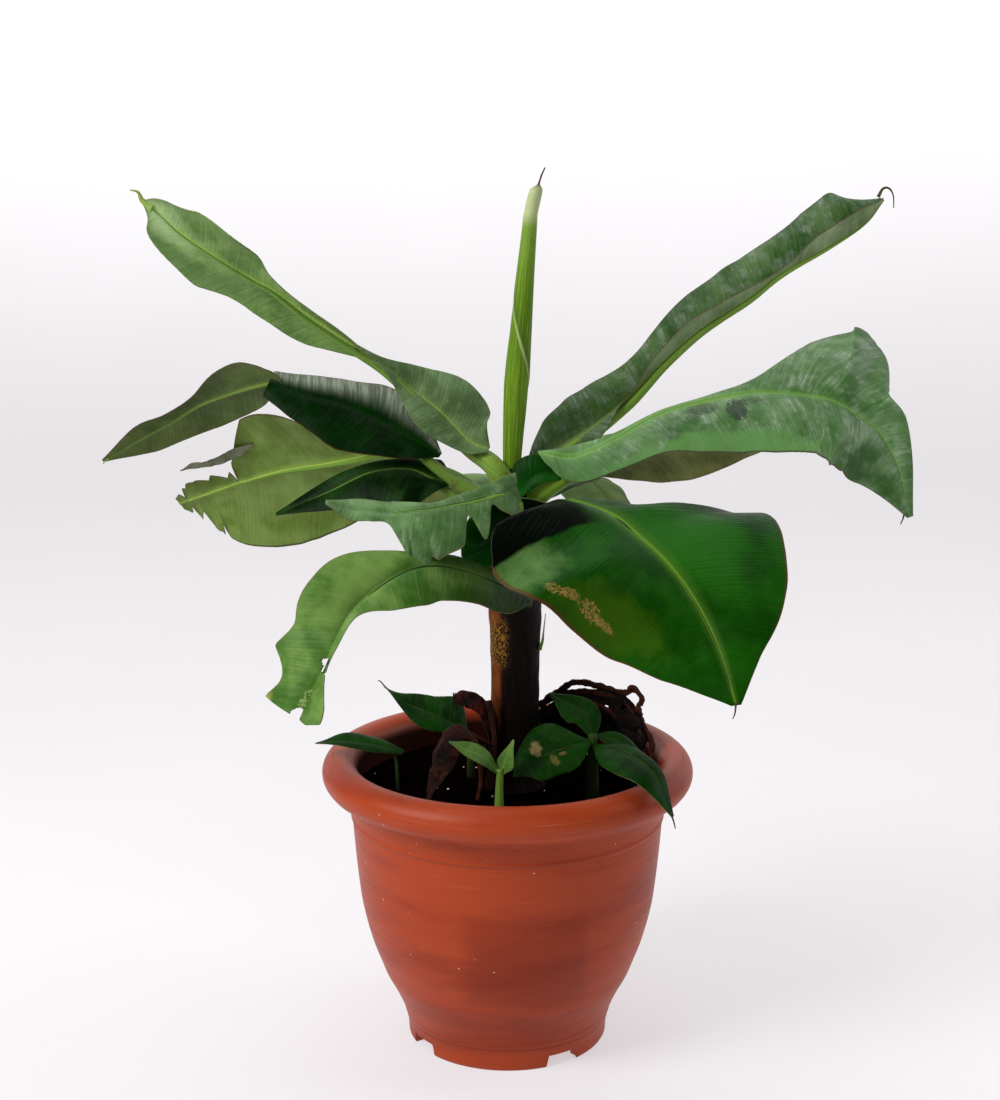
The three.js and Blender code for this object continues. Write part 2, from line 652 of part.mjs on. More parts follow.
function buildPlant() {
  const plant = new THREE.Group();
  plant.add(named('pot', potBody(), 'terracotta_plastic'));
  plant.add(named('soil', soilBody(), 'potting_soil'));
  plant.add(named('trunk', column(TRUNK_RINGS, 0, TRUNK_SIDES), 'stem_sheath'));
  plant.add(named('spear', column(SPEAR_RINGS, 0, SPEAR_SIDES), 'young_green'));
  // Each leaf is cut clear of what stands before it in the list
  const taken = [
    soilSpace(), column(TRUNK_RINGS, CLEARANCE, TRUNK_SIDES), column(SPEAR_RINGS, CLEARANCE, SPEAR_SIDES),
  ];
  for (const [name, leaf] of Object.entries(LEAVES)) {
    const body = taken.reduce((rest, other) => rest.subtract(other), leafParts(leaf, 0));
    plant.add(named(name, largest(body), leaf.finish));
    taken.push(leafParts(leaf, CLEARANCE));
  }
  return plant;
}

const group = buildPlant();
export default group;
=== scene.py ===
"""Looks of a potted dwarf banana plant, in metres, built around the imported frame."""

import logging
import math
import random
from collections.abc import Callable
from dataclasses import dataclass, replace
from enum import Enum

import bmesh
import bpy
from mathutils import Matrix, Vector, noise


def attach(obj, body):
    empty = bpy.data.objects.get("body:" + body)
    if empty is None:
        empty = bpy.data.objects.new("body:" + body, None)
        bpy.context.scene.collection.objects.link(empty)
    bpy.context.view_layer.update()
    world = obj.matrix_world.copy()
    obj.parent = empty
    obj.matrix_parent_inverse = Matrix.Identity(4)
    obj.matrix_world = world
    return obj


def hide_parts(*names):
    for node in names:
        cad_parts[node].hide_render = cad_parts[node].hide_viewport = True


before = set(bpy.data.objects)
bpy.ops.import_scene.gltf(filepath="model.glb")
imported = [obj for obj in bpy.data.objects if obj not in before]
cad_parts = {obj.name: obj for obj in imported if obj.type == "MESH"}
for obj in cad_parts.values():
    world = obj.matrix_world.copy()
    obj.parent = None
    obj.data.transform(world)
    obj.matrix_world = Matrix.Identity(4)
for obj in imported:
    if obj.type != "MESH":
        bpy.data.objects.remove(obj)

log = logging.getLogger("banana_plant")

# Metres in a millimetre, and the other way round
MM = 0.001
PER_METRE = 1000.0
# Heights and places that several classes share, in millimetres
SOIL_LEVEL = 282.0
FOOT_LINE = 24.5
BEAD_LINE = 251.5
STEM_X = 8.0
# How far a side vein runs on along the rib for each step away from it
VEIN_SLANT = 0.38
# Turns that the rolled leaf's seam makes from its foot to its tip
SEAM_TURNS = 1.7
# Distance in metres within which two points are one
MERGE = 1e-6
# Distance in the noise between one seed and the next
SEED_STEP = 7.31

Row = tuple[float, ...]
Rows = tuple[Row, ...]
Colour = tuple[float, float, float, float]
Places = dict[int, tuple[float, float, float, float]]
GridPoints = list[tuple[bmesh.types.BMVert, float, float]]


def srgb(red: float, green: float, blue: float) -> Colour:
    """Linear colour of a screen colour.

    Args:
        red: Red, 0 to 255.
        green: Green, 0 to 255.
        blue: Blue, 0 to 255.

    Returns:
        The colour in linear light, opaque.
    """

    def linear(level: float) -> float:
        share = level / 255
        return share / 12.92 if share <= 0.04045 else ((share + 0.055) / 1.055) ** 2.4

    return (linear(red), linear(green), linear(blue), 1.0)


def along(rows: Rows, t: float) -> list[float]:
    """Value of a smooth curve through rows of numbers.

    Args:
        rows: Rows of equal length, spread evenly over the curve.
        t: Place on the curve, 0 to 1.

    Returns:
        One number for every column.
    """
    spans = len(rows) - 1
    place = min(max(t, 0.0), 1.0) * spans
    i = min(int(place), spans - 1)
    w = place - i
    values = []
    for c, p1 in enumerate(rows[i]):
        p2 = rows[i + 1][c]
        p0 = rows[i - 1][c] if i > 0 else 2 * p1 - p2
        p3 = rows[i + 2][c] if i + 2 <= spans else 2 * p2 - p1
        a = (p2 - p0) / 2
        b = (p3 - p1) / 2
        values.append(
            p1 + a * w + (3 * (p2 - p1) - 2 * a - b) * w * w + (2 * (p1 - p2) + a + b) * w**3
        )
    return values


def heading_of(rows: Rows, t: float) -> Vector:
    """Direction of the curve through the first three columns.

    Args:
        rows: Rows that start with x, y and z.
        t: Place on the curve, 0 to 1.

    Returns:
        The unit tangent.
    """
    step = 1e-3
    a = along(rows, max(t - step, 0.0))
    b = along(rows, min(t + step, 1.0))
    return (Vector(b[:3]) - Vector(a[:3])).normalized()


def smooth(low: float, high: float, value: float) -> float:
    """Smooth step of a value from 0 at low to 1 at high."""
    share = min(max((value - low) / (high - low), 0.0), 1.0)
    return share * share * (3 - 2 * share)


def rough(x: float, y: float, z: float) -> float:
    """Smooth noise of about -1 to 1, one swell per unit of x and y, with z as a seed."""
    return noise.noise(Vector((x, y, z * SEED_STEP)))


def darker(colour: Colour, share: float) -> Colour:
    """Opaque colour with a share of another one's light."""
    return (*(level * share for level in colour[:3]), 1.0)


class Layer(Enum):
    """Names of the UV layers that the pieces carry."""

    METRIC = "metric"
    SHARE = "share"


class Signal:
    """One value of a shader, written in plain arithmetic."""

    def __init__(self, graph: "Graph", socket: bpy.types.NodeSocket) -> None:
        """Wrap a socket.

        Args:
            graph: Graph that the socket is in.
            socket: Output socket that carries the value.
        """
        self.graph = graph
        self.socket = socket

    def __add__(self, other: "Signal | float") -> "Signal":
        """Sum with a value or signal."""
        return self.graph.maths("ADD", self, other)

    def __radd__(self, other: float) -> "Signal":
        """Sum with a value before it."""
        return self.graph.maths("ADD", other, self)

    def __sub__(self, other: "Signal | float") -> "Signal":
        """Difference from a value or signal."""
        return self.graph.maths("SUBTRACT", self, other)

    def __rsub__(self, other: float) -> "Signal":
        """Difference of a value and this."""
        return self.graph.maths("SUBTRACT", other, self)

    def __mul__(self, other: "Signal | float") -> "Signal":
        """Product with a value or signal."""
        return self.graph.maths("MULTIPLY", self, other)

    def __rmul__(self, other: float) -> "Signal":
        """Product with a value before it."""
        return self.graph.maths("MULTIPLY", other, self)

    def __truediv__(self, other: "Signal | float") -> "Signal":
        """Quotient by a value or signal."""
        return self.graph.maths("DIVIDE", self, other)

    def __rtruediv__(self, other: float) -> "Signal":
        """Quotient of a value by this."""
        return self.graph.maths("DIVIDE", other, self)

    def __pow__(self, other: float) -> "Signal":
        """Power."""
        return self.graph.maths("POWER", self, other)

    def __abs__(self) -> "Signal":
        """Absolute value."""
        return self.graph.maths("ABSOLUTE", self)

    def step(self, low: float, high: float) -> "Signal":
        """Smooth step from 0 at low to 1 at high; low above high gives the reverse."""
        ramp = self.graph.node(
            "ShaderNodeMapRange",
            {"interpolation_type": "SMOOTHSTEP"},
            {0: self, 1: low, 2: high, 3: 0.0, 4: 1.0},
        )
        return Signal(self.graph, ramp.outputs[0])


class Graph:
    """Node tree of one material."""

    COAT_ROUGHNESS = 0.25

    def __init__(self, name: str) -> None:
        """Start an empty material.

        Args:
            name: Name of the material.
        """
        self.material = bpy.data.materials.new(name)
        self.material.use_nodes = True
        self.tree = self.material.node_tree
        self.tree.nodes.clear()

    def node(
        self, kind: str, settings: dict[str, object] | None = None, inputs: dict | None = None
    ) -> bpy.types.Node:
        """Add a node.

        Args:
            kind: Type of the node.
            settings: Properties that are set first.
            inputs: Values or signals by input name or number.

        Returns:
            The node.
        """
        made = self.tree.nodes.new(kind)
        for key, value in (settings or {}).items():
            setattr(made, key, value)
        for key, value in (inputs or {}).items():
            if isinstance(value, Signal):
                self.tree.links.new(value.socket, made.inputs[key])
            else:
                made.inputs[key].default_value = value
        return made

    def maths(self, operation: str, *values: "Signal | float") -> Signal:
        """Add a Math node with its inputs in order."""
        made = self.node("ShaderNodeMath", {"operation": operation}, dict(enumerate(values)))
        return Signal(self, made.outputs[0])

    def mix(self, share: "Signal | float", first: object, second: object) -> Signal:
        """Mix two colours by the share of the second."""
        settings = {"data_type": "RGBA", "clamp_factor": True}
        return Signal(self, self.node("ShaderNodeMix", settings, {0: share, 6: first, 7: second}).outputs[2])

    def vector(self, x: object, y: object, z: object) -> Signal:
        """Join three values to a vector."""
        return Signal(self, self.node("ShaderNodeCombineXYZ", None, {0: x, 1: y, 2: z}).outputs[0])

    def split(self, vector: Signal) -> tuple[Signal, Signal, Signal]:
        """Split a vector into its three values."""
        made = self.node("ShaderNodeSeparateXYZ", None, {0: vector})
        return tuple(Signal(self, made.outputs[i]) for i in range(3))

    def uv(self, layer: Layer) -> tuple[Signal, Signal]:
        """Read the two values of a UV layer."""
        return self.split(Signal(self, self.node("ShaderNodeUVMap", {"uv_map": layer.value}).outputs[0]))[:2]

    def place(self) -> Signal:
        """Read the place on the object, in metres, as a vector."""
        return Signal(self, self.node("ShaderNodeTexCoord").outputs["Object"])

    def noise(self, vector: Signal, scale: float, detail: float = 2.0, roughness: float = 0.55) -> Signal:
        """Add a noise texture of about 0.2 to 0.8, with its swells per unit and its octaves."""
        inputs = {"Vector": vector, "Scale": scale, "Detail": detail, "Roughness": roughness}
        return Signal(self, self.node("ShaderNodeTexNoise", None, inputs).outputs[0])

    def cells(self, vector: Signal, scale: float) -> Signal:
        """Add a cell texture, the distance to the nearest cell's centre."""
        made = self.node("ShaderNodeTexVoronoi", None, {"Vector": vector, "Scale": scale})
        return Signal(self, made.outputs["Distance"])

    def close(
        self,
        colour: object,
        roughness: object,
        height: Signal | None = None,
        depth: float = 0.001,
        coat: object = 0.0,
        specular: float = 0.5,
        glow: Signal | None = None,
    ) -> bpy.types.Material:
        """End the graph with a surface.

        Args:
            colour: Base colour.
            roughness: Roughness.
            height: Relief that bends the light.
            depth: Metres of relief for a height of 1.
            coat: Weight of the clear coat.
            specular: Level of the mirror-like share.
            glow: Colour of the light that the surface gives off.

        Returns:
            The finished material.
        """
        inputs = {"Base Color": colour, "Roughness": roughness, "Coat Weight": coat}
        if glow is not None:
            inputs["Emission Color"] = glow
            inputs["Emission Strength"] = 1.0
        if height is not None:
            bump = self.node("ShaderNodeBump", None, {"Height": height, "Distance": depth})
            inputs["Normal"] = Signal(self, bump.outputs[0])
        surface = self.node("ShaderNodeBsdfPrincipled", None, inputs)
        surface.inputs["Specular IOR Level"].default_value = specular
        surface.inputs["Coat Roughness"].default_value = self.COAT_ROUGHNESS
        output = self.node("ShaderNodeOutputMaterial")
        self.tree.links.new(surface.outputs[0], output.inputs[0])
        return self.material


@dataclass(frozen=True)
class Mark:
    """A coloured patch on a blade, placed and sized by shares along and across it.

    Grain is the fineness of its frayed edge, lines the share of it that is
    fine lines, and soft the width of its edge.
    """

    along: float
    across: float
    length: float
    width: float
    colour: Colour
    strength: float = 0.8
    grain: float = 220.0
    lines: float = 0.0
    soft: float = 0.45

    def paint(
        self, g: Graph, colour: Signal, s: Signal, w: Signal, t: Signal, q: Signal, vein: Signal, seed: float
    ) -> Signal:
        """Lay the mark on a colour.

        Args:
            g: Graph of the material.
            colour: Colour under the mark.
            s: Distance along the rib.
            w: Distance away from the rib.
            t: Share along the blade.
            q: Share across the blade.
            vein: Distance that stays the same along a side vein.
            seed: Shifts the noise.

        Returns:
            The colour with the mark.
        """
        away = ((t - self.along) / self.length) ** 2.0 + ((q - self.across) / self.width) ** 2.0
        grain = g.noise(g.vector(s * self.grain, w * self.grain, seed), 1.0, 4.0, 0.7)
        patch = (away + grain * 2.4 - 1.1).step(1.0, 1.0 - self.soft)
        ridge = g.noise(g.vector(vein * self.grain, w * self.grain * 0.7, seed + 2.0), 1.0, 4.0, 0.6)
        vine = abs(ridge - 0.5).step(0.055, 0.02) * self.lines + (1.0 - self.lines)
        return g.mix(patch * vine * self.strength, colour, self.colour)


@dataclass(frozen=True)
class LeafSide:
    """Look of one side of a blade: veins, waxy haze that is partly painted sheen, painted sheen on one half,
    marks, rib, margin and painted shade at the foot.
    """

    deep: Colour
    light: Colour
    rib: Colour
    bloom_and_sheen: Colour
    bloom_and_sheen_share: float = 0.2
    roughness: float = 0.45
    specular: float = 0.35
    vein: float = 0.5
    relief: float = 0.0005
    # Painted shade at the blade's foot: its colour, reach, softness and the half it lies on
    foot: Colour | None = None
    foot_reach: float = 0.35
    foot_soft: float = 1.0
    foot_side: float = 0.0
    margin: Colour | None = None
    marks: tuple[Mark, ...] = ()
    rib_width: float = 1.5
    rib_share: float = 0.8
    painted_sheen_side: float = 0.0

    # Swells per metre of the fine veins, the bands of veins, the waxy haze, which is partly painted sheen,
    # and its streaks
    FINE = 520.0
    BAND = 95.0
    HAZE = 60.0
    STREAK = 260.0
    # Radians per metre of the comb of pleats
    COMB = 1400.0
    # Shares of a half's width between which the margin's colour sets in
    RIM = (0.972, 0.995)
    # Distances from the rib's middle, in half ribs, where the rib and the halo beside it end and are full
    RIB = (1.5, 0.6)
    HALO = (5.0, 0.8)

    def material(self, name: str, seed: float) -> bpy.types.Material:
        """Build the material.

        Args:
            name: Name of the material.
            seed: Shifts the noise, so that no two blades are alike.

        Returns:
            The material.
        """
        g = Graph(name)
        s, w = g.uv(Layer.METRIC)
        t, q = g.uv(Layer.SHARE)
        reach = abs(w)
        vein = s - reach * VEIN_SLANT
        side = w.step(-0.0005, 0.0005) * 3.0 + seed
        fine = g.noise(g.vector(vein * self.FINE, reach * 14.0, side), 1.0, 3.0)
        band = g.noise(g.vector(vein * self.BAND, reach * 7.0, side), 1.0, 2.0)
        cloud = g.noise(g.vector(s * 22.0, w * 22.0, seed), 1.0, 4.0)
        comb = g.maths("SINE", vein * self.COMB + band * 9.0) * 0.5 + 0.5
        colour = g.mix(cloud.step(0.36, 0.66), self.deep, self.light)
        colour = g.mix(fine.step(0.4, 0.75) * self.vein * 0.7, colour, self.light)
        colour = g.mix(band.step(0.5, 0.3) * self.vein * 0.55, colour, self.deep)
        colour = g.mix(comb * self.vein * 0.22, colour, self.deep)
        # Waxy grey haze in streaks, partly a real coat and partly painted sheen
        haze = g.noise(g.vector(s * self.HAZE, w * self.HAZE, seed + 5.0), 1.0, 5.0, 0.7)
        streak = g.noise(g.vector(vein * self.STREAK, reach * 24.0, side + 7.0), 1.0, 4.0, 0.7)
        wax_and_sheen = haze.step(0.38, 0.72) * (0.3 + streak.step(0.4, 0.68) * 0.95)
        colour = g.mix(wax_and_sheen * self.bloom_and_sheen_share, colour, self.bloom_and_sheen)
        # Painted sheen over one half of the blade
        if self.painted_sheen_side != 0.0:
            sheen = (q * self.painted_sheen_side).step(0.1, 0.75) * (0.35 + streak.step(0.35, 0.7) * 0.65)
            colour = g.mix(sheen * 0.85, colour, self.bloom_and_sheen)
        # Painted shade over the blade's foot; with a side given, it covers one half and lies over the rib and
        # margin
        shade = (t + cloud * 0.04 - 0.02).step(self.foot_reach, self.foot_reach * (1.0 - self.foot_soft))
        if self.foot is not None and self.foot_side == 0.0:
            colour = g.mix(shade, colour, self.foot)
        for mark in self.marks:
            colour = mark.paint(g, colour, s, w, t, q, vein, seed)
        half_rib = self.rib_width * MM * (1.2 - t)
        rib = (reach / half_rib).step(*self.RIB)
        halo = (reach / half_rib).step(*self.HALO)
        colour = g.mix(halo * 0.25 * self.rib_share, colour, self.rib)
        colour = g.mix(rib * (0.72 + fine * 0.3) * self.rib_share, colour, self.rib)
        if self.margin is not None:
            rim = (abs(q) + fine * 0.012).step(*self.RIM)
            colour = g.mix(rim * 0.75, colour, self.margin)
        # Painted shade over one half of the foot
        if self.foot is not None and self.foot_side != 0.0:
            colour = g.mix(shade * (q * self.foot_side).step(0.1, 0.3), colour, self.foot)
        gloss = self.roughness + haze.step(0.4, 0.8) * 0.18 - fine * 0.08
        height = fine * 0.35 + comb * 0.2 + band * 0.5 + rib * 0.6
        return g.close(colour, gloss, height, self.relief, specular=self.specular)


@dataclass(frozen=True)
class EdgeFinish:
    """Thin margin of a blade."""

    colour: Colour

    def material(self, name: str) -> bpy.types.Material:
        """Build the material.

        Args:
            name: Name of the material.

        Returns:
            The material.
        """
        g = Graph(name)
        grain = g.noise(g.place(), 400.0, 3.0)
        colour = g.mix(grain.step(0.35, 0.7), darker(self.colour, 0.45), self.colour)
        return g.close(colour, 0.6, grain, 0.0003)


@dataclass(frozen=True)
class StalkFinish:
    """Ribbed stalk that runs from the foot's colour to the tip's, with blotches."""

    foot: Colour
    tip: Colour
    blotch: Colour
    blotch_share: float = 0.2
    roughness: float = 0.42

    def material(self, name: str, seed: float) -> bpy.types.Material:
        """Build the material.

        Args:
            name: Name of the material.
            seed: Shifts the noise.

        Returns:
            The material.
        """
        g = Graph(name)
        t, round_share = g.uv(Layer.SHARE)
        s, _ = g.uv(Layer.METRIC)
        place = g.place()
        stripe = g.noise(g.vector(round_share * 46.0, s * 9.0, seed), 1.0, 3.0)
        spots = g.noise(place, 65.0, 5.0, 0.7)
        fleck = g.noise(g.vector(s * 260.0, round_share * 22.0, seed), 1.0, 2.0)
        colour = g.mix(t.step(0.0, 0.65), self.foot, self.tip)
        colour = g.mix(stripe.step(0.5, 0.75) * 0.5, colour, darker(self.foot, 0.5))
        colour = g.mix(spots.step(0.52, 0.66) * t.step(0.6, 0.1) * self.blotch_share, colour, self.blotch)
        colour = g.mix(fleck.step(0.66, 0.8) * 0.35 * t.step(0.7, 0.2), colour, self.blotch)
        return g.close(colour, self.roughness + stripe * 0.15, stripe + fleck * 0.2, 0.0006, 0.04, 0.12)


@dataclass(frozen=True)
class DeadFinish:
    """Dry crumpled leaf tissue."""

    dark: Colour
    brown: Colour
    pale: Colour

    def material(self, name: str, seed: float) -> bpy.types.Material:
        """Build the material.

        Args:
            name: Name of the material.
            seed: Shifts the noise.

        Returns:
            The material.
        """
        g = Graph(name)
        s, w = g.uv(Layer.METRIC)
        vein = s - abs(w) * 0.3
        fibre = g.noise(g.vector(vein * 420.0, w * 30.0, seed), 1.0, 4.0, 0.65)
        cloud = g.noise(g.vector(s * 45.0, w * 45.0, seed + 3.0), 1.0, 5.0, 0.7)
        crumple = g.noise(g.place(), 120.0, 5.0, 0.7)
        colour = g.mix(cloud.step(0.38, 0.66), self.dark, self.brown)
        colour = g.mix(fibre.step(0.55, 0.8) * 0.6, colour, self.pale)
        # Darker in the hollows of the crumpled relief, painted shade
        colour = g.mix(crumple.step(0.5, 0.3) * 0.5, colour, self.dark)
        return g.close(colour, 0.62 + cloud * 0.3, fibre + crumple * 1.4, 0.0016, 0.0, 0.15)


@dataclass(frozen=True)
class PlasticFinish:
    """Moulded terracotta-coloured plastic.

    It has fine level scuffs, pale specks, darker colour along its two lines, a painted reflection as a faint
    darker patch on the front and painted shade on its inside.
    """

    base: Colour = srgb(161, 59, 21)
    deep: Colour = srgb(137, 43, 11)
    chalk: Colour = srgb(206, 128, 96)
    # Colour along the foot line and the bead line
    line_dark: Colour = srgb(90, 36, 18)
    # Colour of the painted reflection on the front
    shade: Colour = srgb(112, 26, 2)
    # Colour of the painted shade on the inside
    inside: Colour = srgb(22, 6, 3)
    fleck: Colour = srgb(230, 205, 186)

    # Places in metres between which the painted reflection, a darker patch, fades in from each side
    REFLECTION_LEFT = (-0.045, -0.02)
    REFLECTION_RIGHT = (0.088, 0.074)
    REFLECTION_FOOT = (0.075, 0.1)
    REFLECTION_TOP = (0.215, 0.19)
    REFLECTION_BACK = (0.0, -0.02)
    # Radius of the painted shade on the inside at a height, its slope over that height, and the step under
    # the lip
    INSIDE_RADIUS = 0.162
    INSIDE_HEIGHT = 0.2
    INSIDE_SLOPE = 0.1
    INSIDE_STEP = 0.006

    def material(self, name: str) -> bpy.types.Material:
        """Build the material.

        Args:
            name: Name of the material.

        Returns:
            The material.
        """
        g = Graph(name)
        place = g.place()
        x, y, z = g.split(place)
        bands = g.noise(g.vector(x * 1.4, y * 1.4, z * 46.0), 1.0, 3.0)
        scuff = g.noise(g.vector(x * 9.0, y * 9.0, z * 520.0), 1.0, 3.0, 0.65)
        smear = g.noise(g.vector(x * 4.0, y * 4.0, z * 22.0), 1.0, 4.0, 0.6)
        speck = g.cells(place, 85.0)
        speck_gate = g.noise(place, 26.0, 2.0)
        grain = g.noise(place, 900.0, 2.0)
        colour = g.mix(smear.step(0.32, 0.6), self.deep, self.base)
        colour = g.mix(bands.step(0.5, 0.75) * 0.2, colour, self.deep)
        colour = g.mix(scuff.step(0.6, 0.8) * smear.step(0.4, 0.6) * 0.3, colour, self.chalk)
        # Painted reflection: a faint darker patch on the front
        patch = (x + bands * 0.02).step(*self.REFLECTION_LEFT) * x.step(*self.REFLECTION_RIGHT)
        patch = patch * z.step(*self.REFLECTION_FOOT) * (z + smear * 0.03).step(*self.REFLECTION_TOP)
        patch = patch * y.step(*self.REFLECTION_BACK)
        colour = g.mix(patch * 0.4, colour, self.shade)
        # Darker along the foot line and the bead line
        foot_line = (abs(z - FOOT_LINE * MM) * PER_METRE).step(1.6, 0.4)
        line = foot_line + (abs(z - BEAD_LINE * MM) * PER_METRE).step(1.4, 0.2)
        colour = g.mix(line * 0.45, colour, self.line_dark)
        # Painted shade on the inside of the wall
        slope = (z - self.INSIDE_HEIGHT) * self.INSIDE_SLOPE
        wall = slope + z.step(0.278, 0.286) * self.INSIDE_STEP + self.INSIDE_RADIUS
        inside_shade = (wall - g.maths("SQRT", x * x + y * y)).step(0.0, 0.0015)
        inside_shade = inside_shade * z.step(0.320, 0.300) * z.step(0.18, 0.2)
        colour = g.mix(inside_shade * 0.94, colour, self.inside)
        colour = g.mix(speck.step(0.075, 0.045) * speck_gate.step(0.52, 0.6), colour, self.fleck)
        gloss = 0.36 + scuff.step(0.45, 0.8) * 0.2 + smear * 0.12
        return g.close(colour, gloss, scuff * 0.2 + grain * 0.25 + bands * 0.3, 0.0004, 0.0, 0.22)


@dataclass(frozen=True)
class SoilFinish:
    """Dark crumbly potting mix."""

    def material(self, name: str) -> bpy.types.Material:
        """Build the material.

        Args:
            name: Name of the material.

        Returns:
            The material.
        """
        g = Graph(name)
        place = g.place()
        crumb = g.noise(place, 180.0, 6.0, 0.7)
        lump = g.noise(place, 40.0, 4.0, 0.6)
        chip = g.cells(place, 130.0)
        colour = g.mix(crumb.step(0.35, 0.7), srgb(3, 1, 1), srgb(13, 5, 4))
        colour = g.mix(lump.step(0.55, 0.7) * 0.5, colour, srgb(10, 4, 3))
        colour = g.mix(chip.step(0.16, 0.1) * crumb.step(0.5, 0.56) * 0.5, colour, srgb(40, 24, 16))
        return g.close(colour, 0.85 + crumb * 0.15, crumb + lump, 0.004, 0.0, 0.0)


@dataclass(frozen=True)
class SheathFinish:
    """Old leaf bases round the false stem.

    They are dark maroon, with a tan strip and a speckled patch on the left, greener at the back, and near
    black with a faint green at the top, which is painted shade under the crown.
    """

    # Heights in metres between which the tan strip starts, ends and the painted shade of the top sets in
    STRIP_FOOT = (0.33, 0.40)
    STRIP_TOP = (0.50, 0.485)
    TOP_SHADE = (0.53, 0.585)
    # Height of the middle of the speckled patch
    PATCH_HEIGHT = 0.445

    def material(self, name: str) -> bpy.types.Material:
        """Build the material.

        Args:
            name: Name of the material.

        Returns:
            The material.
        """
        g = Graph(name)
        place = g.place()
        x, y, z = g.split(place)
        turn = g.maths("ARCTAN2", y, x - STEM_X * MM)
        fibre = g.noise(g.vector(turn * 17.0, z * 26.0, 1.0), 1.0, 4.0, 0.65)
        fine = g.noise(g.vector(turn * 60.0, z * 60.0, 4.0), 1.0, 3.0)
        cloud = g.noise(g.vector(turn * 2.2, z * 24.0, 7.0), 1.0, 5.0, 0.65)
        speckle = g.noise(place, 420.0, 3.0, 0.7)
        colour = g.mix(fibre.step(0.4, 0.75), srgb(5, 1, 1), srgb(30, 7, 4))
        colour = g.mix(cloud.step(0.56, 0.75) * 0.5, colour, srgb(58, 14, 8))
        around = g.maths("ARCTAN2", y, STEM_X * MM - x)
        left = abs(around + 0.4 + (cloud - 0.5) * 0.5).step(0.66, 0.46)
        tan = g.mix(cloud.step(0.35, 0.6), srgb(124, 64, 18), srgb(84, 30, 6))
        tan = g.mix(fine.step(0.5, 0.8) * 0.5, tan, srgb(70, 28, 12))
        colour = g.mix(left * z.step(*self.STRIP_FOOT) * z.step(*self.STRIP_TOP), colour, tan)
        patch = (abs(z - self.PATCH_HEIGHT) * PER_METRE).step(34.0, 14.0)
        patch = patch * abs(around + 0.7 + (fine - 0.5) * 0.6).step(0.7, 0.4)
        spots = g.mix(speckle.step(0.48, 0.56), srgb(24, 10, 3), srgb(156, 112, 34))
        colour = g.mix(patch * 0.85, colour, spots)
        back = g.mix(fibre.step(0.35, 0.7), srgb(44, 36, 18), srgb(96, 84, 44))
        colour = g.mix(abs(turn - 1.4).step(1.1, 0.5) * z.step(0.36, 0.5) * 0.7, colour, back)
        # Painted shade: the top, under the crown, goes nearly black
        top = g.mix(cloud, srgb(14, 22, 4), srgb(6, 3, 1))
        colour = g.mix(z.step(*self.TOP_SHADE) * 0.85, colour, top)
        return g.close(colour, 0.5 + fine * 0.25, fibre + fine * 0.4, 0.001, 0.0, 0.1)


@dataclass(frozen=True)
class SpearFinish:
    """Tightly rolled young leaf."""

    def material(self, name: str) -> bpy.types.Material:
        """Build the material.

        Args:
            name: Name of the material.

        Returns:
            The material.
        """
        g = Graph(name)
        t, turn = g.uv(Layer.SHARE)
        fibre = g.noise(g.vector(turn * 40.0, t * 5.0, 2.0), 1.0, 3.0)
        slant = g.noise(g.vector(t * 70.0 + turn * 9.0, turn * 2.0, 5.0), 1.0, 3.0)
        colour = g.mix(fibre.step(0.35, 0.7), srgb(74, 108, 8), srgb(110, 144, 34))
        colour = g.mix(t.step(0.55, 1.0) * 0.6, colour, srgb(142, 172, 80))
        colour = g.mix(slant.step(0.5, 0.75) * 0.45, colour, srgb(76, 112, 22))
        seam = g.maths("FRACT", turn + t * SEAM_TURNS)
        edge = abs(seam - 0.5).step(0.035, 0.006)
        colour = g.mix(edge * 0.6, colour, srgb(176, 190, 124))
        shade = (seam - 0.5).step(0.0, 0.02) * (seam - 0.5).step(0.16, 0.04)
        colour = g.mix(shade * 0.45, colour, srgb(46, 80, 24))
        colour = g.mix(t.step(0.80, 0.86) * t.step(0.96, 0.93), colour, srgb(170, 182, 130))
        colour = g.mix(t.step(0.925, 0.955), colour, srgb(88, 58, 40))
        return g.close(colour, 0.45 + fibre * 0.1, fibre * 0.6 + edge, 0.0007, 0.04, 0.12)


@dataclass(frozen=True)
class BackdropFinish:
    """Matt studio paper that glows a little more towards the top."""

    paper: tuple[Colour, Colour] = ((0.33, 0.322, 0.328, 1.0), (0.35, 0.345, 0.349, 1.0))
    glow: tuple[Colour, Colour] = ((0.52, 0.50, 0.515, 1.0), (0.88, 0.87, 0.885, 1.0))

    def material(self, name: str) -> bpy.types.Material:
        """Build the material.

        Args:
            name: Name of the material.

        Returns:
            The material.
        """
        g = Graph(name)
        place = g.place()
        grain = g.noise(place, 300.0, 3.0)
        cloud = g.noise(place, 1.3, 3.0)
        _, _, z = g.split(place)
        colour = g.mix(cloud.step(0.3, 0.7), *self.paper)
        shine = g.mix(z.step(-0.3, 1.35), *self.glow)
        return g.close(colour, 0.9, grain, 0.0002, 0.0, 0.1, shine)


def smooth_object(
    name: str, mesh: bmesh.types.BMesh, materials: list[bpy.types.Material]
) -> bpy.types.Object:
    """Make a smooth object of a mesh and link it to the scene.

    Args:
        name: Name of the object and its mesh.
        mesh: The mesh, which is freed.
        materials: Its materials in order.

    Returns:
        The object.
    """
    data = bpy.data.meshes.new(name)
    mesh.to_mesh(data)
    mesh.free()
    for material in materials:
        data.materials.append(material)
    for polygon in data.polygons:
        polygon.use_smooth = True
    made = bpy.data.objects.new(name, data)
    bpy.context.scene.collection.objects.link(made)
    return made


